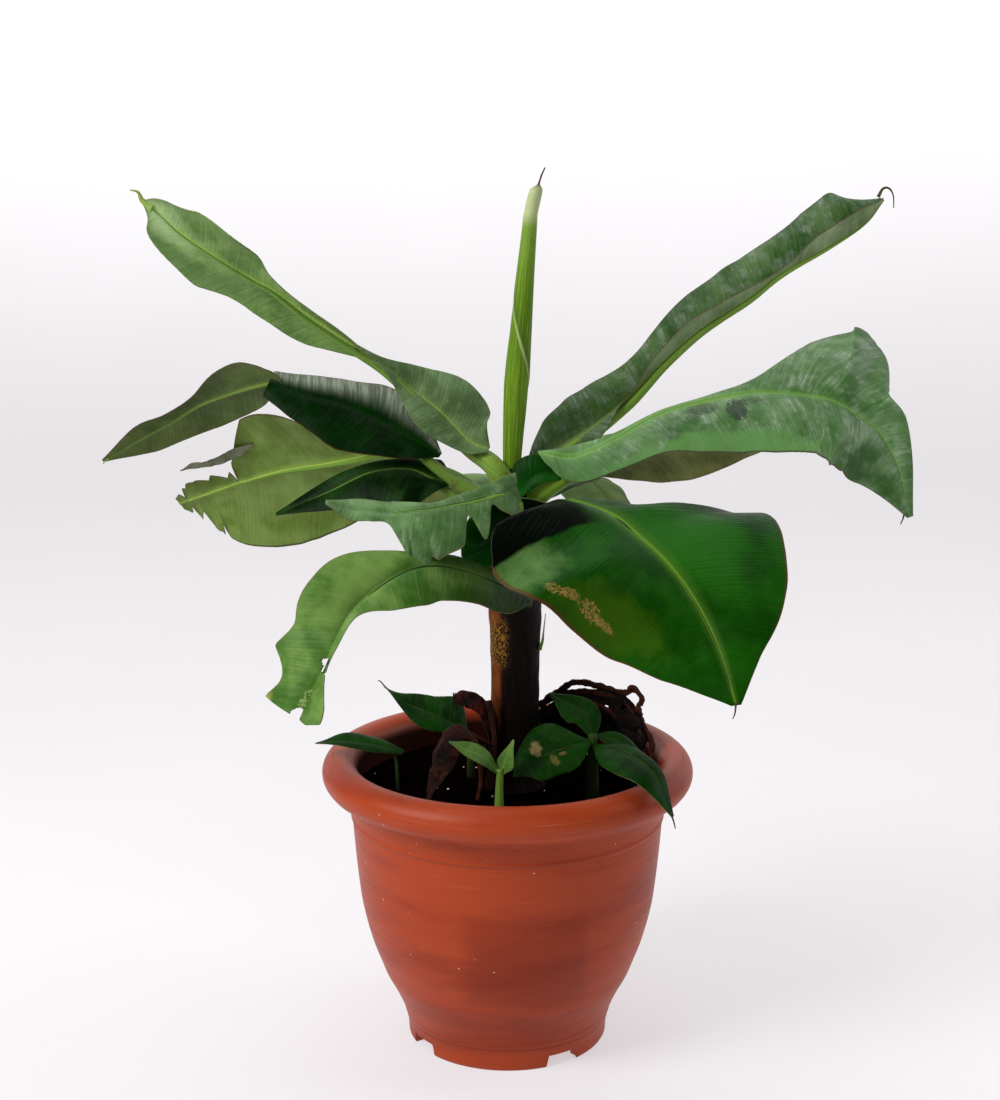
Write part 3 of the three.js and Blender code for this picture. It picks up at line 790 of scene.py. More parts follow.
@dataclass
class Piece:
    """A mesh on its way to the scene; shell is the thickness in millimetres that a sheet is given."""

    name: str
    mesh: bmesh.types.BMesh
    materials: list[bpy.types.Material]
    nodes: tuple[str, ...]
    slot: str
    shell: float = 0.0

    def finish(self) -> None:
        """Make the object, dress it and tie it to the frame."""
        if self.shell == 0.0:
            bmesh.ops.recalc_face_normals(self.mesh, faces=self.mesh.faces[:])
        piece = smooth_object(self.name, self.mesh, self.materials)
        if self.shell > 0.0:
            shell = piece.modifiers.new("shell", "SOLIDIFY")
            shell.thickness = self.shell * MM
            shell.offset = 0.0
            shell.material_offset = 1
            shell.material_offset_rim = 2
        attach(piece, "root")
        if self.nodes:
            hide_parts(*self.nodes)
        log.info("%s: %d faces", self.name, len(piece.data.polygons))


def unit_grid(columns: int, rows: int) -> tuple[bmesh.types.BMesh, GridPoints]:
    """Make a grid whose points know their two shares.

    Args:
        columns: Segments along the first share.
        rows: Segments along the second share.

    Returns:
        The mesh, and each point with its shares, 0 to 1.
    """
    mesh = bmesh.new()
    bmesh.ops.create_grid(mesh, x_segments=columns, y_segments=rows, size=0.5)
    low = min(point.co.x for point in mesh.verts)
    span = -2.0 * low
    return mesh, [(p, (p.co.x - low) / span, (p.co.y - low) / span) for p in mesh.verts]


def row_key(t: float) -> float:
    """Share of a grid's row, free of rounding."""
    return round(t, 6)


def row_shares(points: GridPoints) -> list[float]:
    """Shares of a grid's rows in order."""
    return sorted({row_key(t) for _, t, _ in points})


def write_layers(mesh: bmesh.types.BMesh, places: Places) -> None:
    """Write the metric and share layers.

    Args:
        mesh: Mesh to mark.
        places: By point number: distance along, distance across, share along, share across.
    """
    metric = mesh.loops.layers.uv.new(Layer.METRIC.value)
    share = mesh.loops.layers.uv.new(Layer.SHARE.value)
    for face in mesh.faces:
        for loop in face.loops:
            s, w, t, q = places[loop.vert.index]
            loop[metric].uv = (s, w)
            loop[share].uv = (t, q)


def close_tube(mesh: bmesh.types.BMesh, places: Places, gap: float = MERGE) -> None:
    """Write the layers of a rolled-up grid, join its seam and fill its ends.

    Args:
        mesh: The grid, rolled up.
        places: By point number, as write_layers takes them.
        gap: Distance in metres within which two points are one.
    """
    write_layers(mesh, places)
    bmesh.ops.remove_doubles(mesh, verts=mesh.verts[:], dist=gap)
    rims = [edge for edge in mesh.edges if edge.is_boundary]
    bmesh.ops.holes_fill(mesh, edges=rims, sides=0)


@dataclass(frozen=True)
class Tear:
    """A slit from the margin towards the rib; its place, half gap and depth are shares."""

    left: bool
    at: float
    gap: float
    depth: float


@dataclass(frozen=True)
class Hole:
    """A missing spot of a blade, placed by shares, with its radius in millimetres."""

    along: float
    across: float
    radius: float


@dataclass(frozen=True)
class Blade:
    """One leaf blade by the same rule as the solids, with pleats, waves, tears and holes."""

    stations: Rows
    heading: float
    seed: float
    steps: int = 130
    across: int = 22
    thickness: float = 1.0
    bow: float = 0.08
    pleat: float = 0.16
    pleat_length: float = 8.0
    wave: float = 3.0
    uneven: float = 0.014
    crumple: float = 0.0
    ragged: float = 0.0
    groove: float = 1.0
    tears: tuple[Tear, ...] = ()
    holes: tuple[Hole, ...] = ()

    LEAST_WIDTH = 0.4
    # Swells of the uneven margin and frays of a ragged one, over the whole blade
    SWELLS = 16
    FRAYS = 60
    # Shares along the blade between which a ragged end sets in
    WORN = (0.84, 0.97)
    # Widths of a half between which the relief sets in, and half width of the groove along the rib
    FLAT_WIDTH = (4.0, 30.0)
    GROOVE_WIDTH = 3.0

    def width(self, t: float, left: bool, row: list[float]) -> float:
        """Width of a half at a place.

        Args:
            t: Share along the blade.
            left: Whether it is the left half.
            row: The station's numbers there.

        Returns:
            The width in millimetres.
        """
        full = row[3] if left else row[5]
        cut = 0.0
        for tear in self.tears:
            if tear.left == left:
                cut = max(cut, tear.depth * (1 - abs(t - tear.at) / tear.gap))
        full *= 1 - cut
        hand = 1.0 if left else 2.0
        full *= 1 + self.uneven * rough(t * self.SWELLS, hand, self.seed)
        if self.ragged > 0.0:
            worn = smooth(*self.WORN, t) * self.ragged
            full *= 1 - worn * max(0.0, rough(t * self.FRAYS, hand + 4, self.seed) + 0.1)
        return max(full, self.LEAST_WIDTH)

    def mesh(self) -> bmesh.types.BMesh:
        """Build the sheet of the blade.

        Returns:
            The mesh, in metres.
        """
        mesh, points = unit_grid(self.steps, 2 * self.across)
        yaw = math.radians(self.heading)
        level = Vector((-math.sin(yaw), math.cos(yaw), 0.0))
        frames: dict[float, tuple] = {}
        length = 0.0
        before = None
        for t in row_shares(points):
            row = along(self.stations, t)
            rib = Vector(row[:3])
            tangent = heading_of(self.stations, t)
            side = (level - tangent * level.dot(tangent)).normalized()
            if before is not None:
                length += (rib - before).length
            before = rib
            frames[t] = (row, rib, side, tangent.cross(side), length)
        places = {}
        mesh.verts.index_update()
        for point, t, v in points:
            row, rib, side, over, s = frames[row_key(t)]
            q = 2 * v - 1
            left = q >= 0
            sign = 1.0 if left else -1.0
            share = abs(q)
            width = self.width(t, left, row)
            lift = math.radians(row[4] if left else row[6])
            out = side * (sign * math.cos(lift)) + over * math.sin(lift)
            face = side * (-sign * math.sin(lift)) + over * math.cos(lift)
            reach = width * share
            place = rib + out * reach + face * (self.bow * width * 4 * share * (1 - share))
            place += face * self.relief(s, reach, share, width, sign)
            point.co = place * MM
            places[point.index] = (s * MM, sign * reach * MM, t, q)
        write_layers(mesh, places)
        self.pierce(mesh, frames)
        return mesh

    def relief(self, s: float, reach: float, share: float, width: float, sign: float) -> float:
        """Height of the surface over the plain rule.

        Args:
            s: Distance along the rib.
            reach: Distance from the rib.
            share: Share of the half's width.
            width: Width of the half.
            sign: 1 on the left half, -1 on the right.

        Returns:
            The height in millimetres.
        """
        vein = s - VEIN_SLANT * reach
        size = smooth(*self.FLAT_WIDTH, width)
        pleat = math.sin(2 * math.pi * vein / self.pleat_length + 2.5 * rough(s / 30, sign, self.seed))
        pleat *= self.pleat * smooth(0.0, 0.3, share) * (0.6 + 0.5 * rough(s / 40, reach / 30, self.seed))
        wave = self.wave * share**2 * rough(s / 34, sign * 3, self.seed + 2)
        swell = 0.5 * self.wave * share * rough(s / 70, reach / 50, self.seed + sign)
        groove = -self.groove * math.exp(-((reach / self.GROOVE_WIDTH) ** 2))
        crumple = self.crumple * (
            rough(s / 13, sign * reach / 11, self.seed) + 0.5 * rough(s / 5, sign * reach / 6, self.seed)
        )
        return size * (pleat + wave + swell + groove) + crumple

    def pierce(self, mesh: bmesh.types.BMesh, frames: dict[float, tuple]) -> None:
        """Cut the holes.

        Args:
            mesh: The blade.
            frames: The rib's frames by share.
        """
        metric = mesh.loops.layers.uv[Layer.METRIC.value]
        for hole in self.holes:
            near = min(frames, key=lambda t: abs(t - hole.along))
            row, _, _, _, s = frames[near]
            w = hole.across * self.width(near, hole.across > 0, row)
            doomed = []
            for face in mesh.faces:
                at = sum((loop[metric].uv for loop in face.loops), Vector((0.0, 0.0))) / len(face.loops)
                spread = hole.radius * (1 + 0.5 * rough(at.x * 130, at.y * 130, self.seed + 9))
                if (at / MM - Vector((s, w))).length < spread:
                    doomed.append(face)
            bmesh.ops.delete(mesh, geom=doomed, context="FACES")


@dataclass(frozen=True)
class Stalk:
    """A tapering stalk through points, with a channel on its upper side.

    Its first spans, as many as bare says, are a free petiole that narrows to the neck's share of the girth.
    """

    path: Rows
    girth: float
    end: float = 0.7
    neck: float = 0.45
    fall: float = 0.6
    bare: int = 0
    channel: float = 0.0
    sides: int = 20
    steps_per_span: int = 9
    seed: float = 0.0
    sink: float = 0.0
    crumple: float = 0.0

    # Upward share of the direction past which the stalk counts as upright
    STEEP = 0.93
    # Half width of the channel, in radians
    CHANNEL_WIDTH = 0.75

    def radius(self, t: float) -> float:
        """Plain radius at a place.

        Args:
            t: Share along the path.

        Returns:
            The radius in millimetres: slow taper on the free petiole, quick under the blade.
        """
        free = self.bare / (len(self.path) - 1)
        if t < free:
            return self.girth * (1 + (self.neck - 1) * (t / free) ** 1.4)
        start = self.girth * (self.neck if self.bare else 1.0)
        return start + (self.end - start) * ((t - free) / (1 - free)) ** self.fall

    def mesh(self) -> bmesh.types.BMesh:
        """Build the stalk.

        Returns:
            The mesh, in metres.
        """
        spans = len(self.path) - 1
        mesh, points = unit_grid(spans * self.steps_per_span, self.sides)
        frames: dict[float, tuple] = {}
        length = 0.0
        before = None
        for t in row_shares(points):
            centre = Vector(along(self.path, t)[:3])
            tangent = heading_of(self.path, t)
            if abs(tangent.z) < self.STEEP:
                side = Vector((0.0, 0.0, 1.0)).cross(tangent).normalized()
            else:
                side = (Vector((1.0, 0.0, 0.0)) - tangent * tangent.x).normalized()
            if before is not None:
                length += (centre - before).length
            before = centre
            frames[t] = (centre, side, tangent.cross(side), length)
        places = {}
        mesh.verts.index_update()
        for point, t, v in points:
            centre, side, over, s = frames[row_key(t)]
            turn = 2 * math.pi * v
            radius = self.radius(t)
            radius *= 1 + 0.05 * rough(s / 25, math.cos(turn), self.seed + 0.1 * math.sin(turn))
            radius += self.crumple * rough(s / 7, math.cos(turn), self.seed + 0.4 * math.sin(turn))
            off = (turn - math.pi / 2) / self.CHANNEL_WIDTH
            dent = self.channel * math.exp(-(off**2)) * smooth(0.0, 0.2, t)
            away = side * math.cos(turn) + over * math.sin(turn)
            free = self.bare / (len(self.path) - 1)
            sunk = self.sink * radius * smooth(0.3 * free, max(0.85 * free, 0.01), t)
            point.co = (centre - over * sunk + away * (radius * (1 - dent))) * MM
            places[point.index] = (s * MM, 0.0, t, v)
        close_tube(mesh, places)
        return mesh


class Side:
    """Leaf sides that several blades share."""

    DARK = LeafSide(
        srgb(2, 32, 1), srgb(16, 60, 4), srgb(46, 86, 18), srgb(80, 104, 66), 0.12, 0.42, specular=0.05,
        rib_share=0.4,
    )
    # Near-black side with painted sheen along the right half
    DUSK = LeafSide(
        srgb(0, 20, 0), srgb(2, 36, 1), srgb(16, 54, 6), srgb(150, 158, 140), 0.02, 0.42, specular=0.03,
        rib_share=0.5, painted_sheen_side=-1.0, margin=srgb(70, 40, 22),
    )
    MID = LeafSide(
        srgb(48, 92, 16), srgb(104, 138, 62), srgb(116, 152, 72), srgb(126, 152, 96), 0.2, 0.5, specular=0.16,
        rib_share=0.5, margin=srgb(104, 96, 44),
    )
    # Its grey haze is partly a real waxy coat and partly painted sheen
    WAX_AND_SHEEN = LeafSide(
        srgb(52, 92, 38), srgb(88, 122, 72), srgb(112, 150, 72), srgb(152, 170, 148), 0.5, 0.42,
        specular=0.25, margin=srgb(70, 62, 40), rib_width=1.8,
    )
    PALE = LeafSide(
        srgb(68, 102, 36), srgb(112, 142, 70), srgb(154, 186, 80), srgb(148, 170, 122), 0.3, 0.55,
        specular=0.2,
    )
    OLIVE = LeafSide(
        srgb(76, 98, 22), srgb(110, 130, 46), srgb(152, 180, 62), srgb(130, 142, 80), 0.25, 0.55,
        specular=0.2,
    )
    GREY = LeafSide(
        srgb(54, 72, 24), srgb(86, 104, 46), srgb(128, 152, 64), srgb(120, 132, 94), 0.3, 0.55, specular=0.2,
        rib_width=1.2, margin=srgb(84, 60, 36),
    )
    DRY = LeafSide(
        srgb(84, 92, 66), srgb(132, 138, 116), srgb(120, 128, 96), srgb(160, 162, 148), 0.4, 0.7,
        specular=0.2, margin=srgb(70, 52, 40),
    )


EDGE_PALE = EdgeFinish(srgb(120, 138, 72))
EDGE_BROWN = EdgeFinish(srgb(88, 62, 36))
EDGE_SHADE = EdgeFinish(srgb(40, 28, 14))
EDGE_DEAD = EdgeFinish(srgb(54, 26, 16))
STALK_GREEN = StalkFinish(srgb(112, 144, 52), srgb(104, 140, 60), srgb(84, 40, 22), 0.35)
STALK_RED = StalkFinish(srgb(98, 126, 46), srgb(84, 116, 40), srgb(78, 26, 12), 0.8)
STALK_YELLOW = StalkFinish(srgb(106, 144, 38), srgb(114, 148, 58), srgb(84, 60, 22), 0.25)
# Dark stalk, darkest at its foot: on the suckers the stems' own colour, on the front leaves' petioles painted
# shade of the crown
STALK_DARK = StalkFinish(srgb(24, 30, 8), srgb(44, 66, 18), srgb(20, 10, 6), 0.5, 0.6)
STALK_BROWN = StalkFinish(srgb(44, 18, 10), srgb(70, 34, 20), srgb(12, 4, 3), 0.8, 0.75)
STALK_DEAD = StalkFinish(srgb(44, 20, 14), srgb(64, 32, 20), srgb(22, 10, 8), 0.6, 0.7)
# Near-black tone, partly the dead leaf's own and partly painted shade under the hanging leaf
DEAD_BROWN = DeadFinish(srgb(3, 1, 1), srgb(26, 9, 6), srgb(74, 36, 22))
DEAD_MAROON = DeadFinish(srgb(12, 2, 2), srgb(66, 12, 10), srgb(96, 40, 30))

# Leaf stations: x, y, z of the rib, left width, left lift, right width, right lift
UPPER_LEFT_INNER: Rows = (
    (-20, -10, 650, 5, -20, 3, 70),
    (-40, -10, 660, 16, -60, 42, 50),
    (-70, -5, 690, 30, -60, 47, 55),
    (-100, 0, 713, 20, -50, 30, 55),
    (-130, -5, 738, 6, -20, 9, 50),
    (-160, -10, 759, 4, 0, 4, 30),
)
UPPER_LEFT_OUTER: Rows = (
    (-135, -5, 740, 4, 20, 4, -30),
    (-170, -15, 765, 8, 55, 26, -50),
    (-205, -25, 790, 12, 45, 40, -50),
    (-235, -35, 815, 14, 40, 42, -50),
    (-260, -40, 830, 34, 40, 44, -45),
    (-290, -50, 850, 46, 40, 60, -45),
    (-325, -55, 875, 42, 45, 48, -45),
    (-345, -60, 895, 22, 45, 28, -45),
    (-360, -60, 905, 2, 40, 2, -40),
)
LEFT_INNER: Rows = (
    (-70, -15, 645, 3, -50, 3, 50),
    (-95, -10, 660, 27, -50, 25, 45),
    (-135, 0, 680, 45, -55, 44, 45),
    (-170, 5, 695, 50, -55, 32, 48),
    (-210, 10, 705, 33, -55, 24, 55),
    (-250, 20, 717, 16, -65, 14, 60),
)
LEFT_OUTER: Rows = (
    (-236, 20, 713, 3, 50, 13, -60),
    (-248, 24, 716, 20, 50, 15, -60),
    (-270, 28, 711, 36, 55, 30, -55),
    (-300, 36, 701, 31, 52, 36, -55),
    (-329, 42, 689, 15, 50, 38, -55),
    (-358, 42, 671, 15, 50, 31, -50),
    (-391, 38, 654, 19, 45, 24, -50),
    (-430, 30, 632, 2, 40, 2, -40),
)
LOW_LEFT: Rows = (
    (-95, 42, 630, 4, 30, 4, -30),
    (-125, 60, 635, 28, 45, 40, -80),
    (-165, 85, 625, 36, 55, 62, -72),
    (-205, 105, 615, 60, 62, 80, -70),
    (-250, 125, 605, 76, 65, 88, -75),
    (-295, 145, 590, 62, 65, 84, -78),
    (-335, 160, 575, 40, 55, 60, -80),
    (-375, 170, 560, 8, 50, 12, -50),
)
SHEATH_RIGHT: Rows = (
    (11, -24, 604, 8, 60, 4, -60),
    (21, -26, 618, 24, 64, 9, -60),
    (34, -27, 628, 22, 66, 11, -60),
    (48, -27, 628, 10, 60, 8, -60),
    (64, -26, 623, 3, 60, 2, -60),
)
FOLD_RIGHT: Rows = (
    (66, -34, 576, 18, -88, 8, 84),
    (41, -32, 576, 27, -88, 22, 84),
    (10, -31, 571, 28, -88, 34, 88),
    (-14, -40, 560, 26, -80, 38, 86),
    (-34, -56, 551, 18, -66, 27, 76),
    (-46, -62, 546, 3, -40, 3, 40),
)
STRIP: Rows = (
    (-282, 128, 634, 5, 30, 6, -30),
    (-304, 128, 625, 9, 30, 8, -40),
    (-320, 124, 618, 6, 40, 7, -40),
    (-336, 120, 614, 7, 20, 5, -50),
    (-350, 118, 611, 6, 40, 5, -30),
    (-363, 116, 607, 2, 0, 2, 0),
)
SMALL_LEFT: Rows = (
    (-60, -15, 615, 4, -30, 4, 40),
    (-80, -10, 622, 38, -50, 26, 45),
    (-105, -5, 630, 46, -45, 13, 45),
    (-145, 0, 625, 42, -45, 11, 45),
    (-190, 5, 603, 24, -40, 14, 40),
    (-245, 10, 578, 2, -30, 2, 30),
)
TORN_FRONT: Rows = (
    (9, -46, 619, 43, -97, 15, 105),
    (0, -53, 616, 31, -90, 14, 75),
    (-10, -59, 613, 19, -84, 13, 55),
    (-20, -64, 611, 10, -70, 13, 50),
    (-31, -70, 609, 42, -80, 11, 50),
    (-43, -75, 607, 14, -66, 10, 50),
    (-54, -80, 606, 42, -66, 8, 50),
    (-74, -90, 604, 50, -64, 6, 40),
    (-93, -97, 603, 63, -64, 10, 40),
    (-108, -102, 602, 54, -63, 13, 40),
    (-118, -104, 601, 14, -52, 15, 40),
    (-136, -107, 603, 11, -50, 16, 40),
    (-158, -113, 607, 12, -50, 13, 40),
    (-180, -120, 615, 3, -40, 3, 40),
)
FRONT_LEFT_INNER: Rows = (
    (25, -46, 500, 6, -40, 6, 20),
    (0, -62, 516, 32, -55, 22, 30),
    (-35, -88, 537, 36, -55, 25, 30),
    (-70, -112, 550, 38, -58, 14, 40),
    (-100, -135, 550, 40, -55, 24, 48),
    (-130, -155, 535, 28, -45, 46, 52),
    (-152, -170, 515, 8, -20, 52, 52),
)
FRONT_LEFT_OUTER: Rows = (
    (-150, -170, 516, 8, -20, 44, 48),
    (-168, -180, 487, 6, 0, 48, 30),
    (-180, -185, 460, 6, 0, 58, 26),
    (-192, -188, 438, 28, 0, 36, 26),
    (-203, -190, 414, 33, 0, 50, 13),
)
FRONT_RIGHT: Rows = (
    (60, -50, 605, 20, -14, 57, 0),
    (85, -70, 601, 86, -17, 140, 8),
    (106, -90, 595, 132, -16, 168, 4),
    (128, -112, 580, 164, -15, 170, 4),
    (153, -138, 560, 151, -4, 162, 8),
    (175, -165, 535, 116, 2, 130, 0),
    (193, -190, 505, 80, 8, 98, -10),
    (205, -215, 475, 36, 8, 64, -10),
    (214, -240, 443, 5, 0, 5, 0),
)
RIGHT: Rows = (
    (31, -22, 650, 1, 30, 1, -40),
    (46, -22, 647, 7, 40, 18, -45),
    (70, -20, 645, 14, 45, 34, -45),
    (110, -20, 663, 7, 45, 36, -50),
    (158, -10, 688, 4, 45, 50, -50),
    (213, -5, 703, 6, 45, 64, -55),
    (265, 0, 709, 22, 45, 72, -50),
    (320, 5, 704, 80, 38, 74, -45),
    (343, 5, 697, 107, 47, 76, -45),
    (360, 5, 688, 102, 44, 80, -45),
    (374, 3, 678, 48, 58, 72, -50),
    (389, 0, 664, 34, 72, 64, -60),
    (407, -8, 632, 16, 85, 50, -75),
    (420, -15, 580, 4, 60, 4, -60),
)
UPPER_RIGHT: Rows = (
    (22, 12, 602, 6, 40, 6, -40),
    (32, 16, 630, 14, 50, 26, -45),
    (57, 25, 648, 34, 55, 22, -45),
    (92, 40, 668, 43, 58, 18, -25),
    (130, 60, 695, 36, 60, 6, 40),
    (165, 75, 730, 30, 50, 16, 60),
    (210, 90, 767, 42, 50, 20, 60),
    (260, 105, 797, 46, 50, 14, 60),
    (300, 120, 825, 42, 50, 6, 60),
    (350, 130, 852, 52, 50, 22, 60),
    (390, 140, 877, 48, 55, 20, 60),
    (412, 150, 902, 4, 40, 4, 40),
)
BACK_RIGHT: Rows = (
    (45, 42, 615, 4, 30, 4, -30),
    (95, 85, 632, 30, 10, 38, -42),
    (160, 130, 641, 40, 5, 60, -46),
    (225, 165, 648, 42, 5, 56, -46),
    (290, 195, 646, 38, 0, 34, -42),
    (335, 218, 636, 24, -5, 18, -40),
    (362, 232, 618, 4, 0, 4, 0),
)
BACK: Rows = (
    (28, 42, 585, 4, 20, 4, -20),
    (52, 90, 600, 30, 10, 26, -10),
    (78, 140, 598, 46, 0, 36, -5),
    (102, 188, 580, 50, -10, 38, -10),
    (122, 222, 545, 38, -15, 30, -15),
    (132, 240, 500, 4, 0, 4, 0),
)
BACK_LEFT: Rows = (
    (-14, 42, 582, 4, 20, 4, -20),
    (-38, 90, 598, 28, 5, 28, 0),
    (-62, 140, 596, 40, -5, 40, -5),
    (-86, 188, 574, 42, -10, 40, -10),
    (-104, 222, 538, 32, -15, 30, -15),
    (-114, 240, 495, 4, 0, 4, 0),
)


def rib_of(stations: Rows, first: int = 0, last: int | None = None) -> Rows:
    """Rib points of the stations from first on, up to last, which stays out."""
    return tuple(row[:3] for row in stations[first:last])


def petiole(stations: Rows, first: int, girth: float, *free: Row, **options: float) -> Stalk:
    """Make a petiole that runs on as the rib of a blade.

    Args:
        stations: Stations of the blade.
        first: The first one that the rib follows.
        girth: Radius at the foot.
        free: Points of the free part, from the stem on.
        options: Other fields of the stalk; without bare, all the free points are bare.

    Returns:
        The stalk.
    """
    return Stalk((*free, *rib_of(stations, first)), girth, **{"bare": len(free), **options})


@dataclass(frozen=True)
class Leaf:
    """A leaf: blades, stalks and their finishes; the label names its pieces where its node does not."""

    nodes: tuple[str, ...]
    slot: str
    blades: tuple[Blade, ...]
    stalks: tuple[Stalk, ...]
    upper: LeafSide | DeadFinish
    under: LeafSide | DeadFinish
    edge: EdgeFinish = EDGE_PALE
    stalk_finish: StalkFinish = STALK_GREEN
    label: str = ""

    def build(self) -> None:
        """Make the leaf's pieces."""
        label = self.label or self.nodes[0]
        for i, blade in enumerate(self.blades):
            name = f"{label}_blade_{i + 1}"
            materials = [
                self.upper.material(f"{name}_upper", blade.seed),
                self.under.material(f"{name}_under", blade.seed + 11),
                self.edge.material(f"{name}_edge"),
            ]
            Piece(name, blade.mesh(), materials, self.nodes, self.slot, blade.thickness).finish()
        for i, stalk in enumerate(self.stalks):
            name = f"{label}_stalk_{i + 1}"
            material = self.stalk_finish.material(name, stalk.seed + 3.0 * i)
            Piece(name, stalk.mesh(), [material], self.nodes, self.slot).finish()


# Colours of the scars on the front right leaf and of the smudges on the right one
SCAR = srgb(150, 116, 62)
SMUDGE = srgb(30, 38, 28)


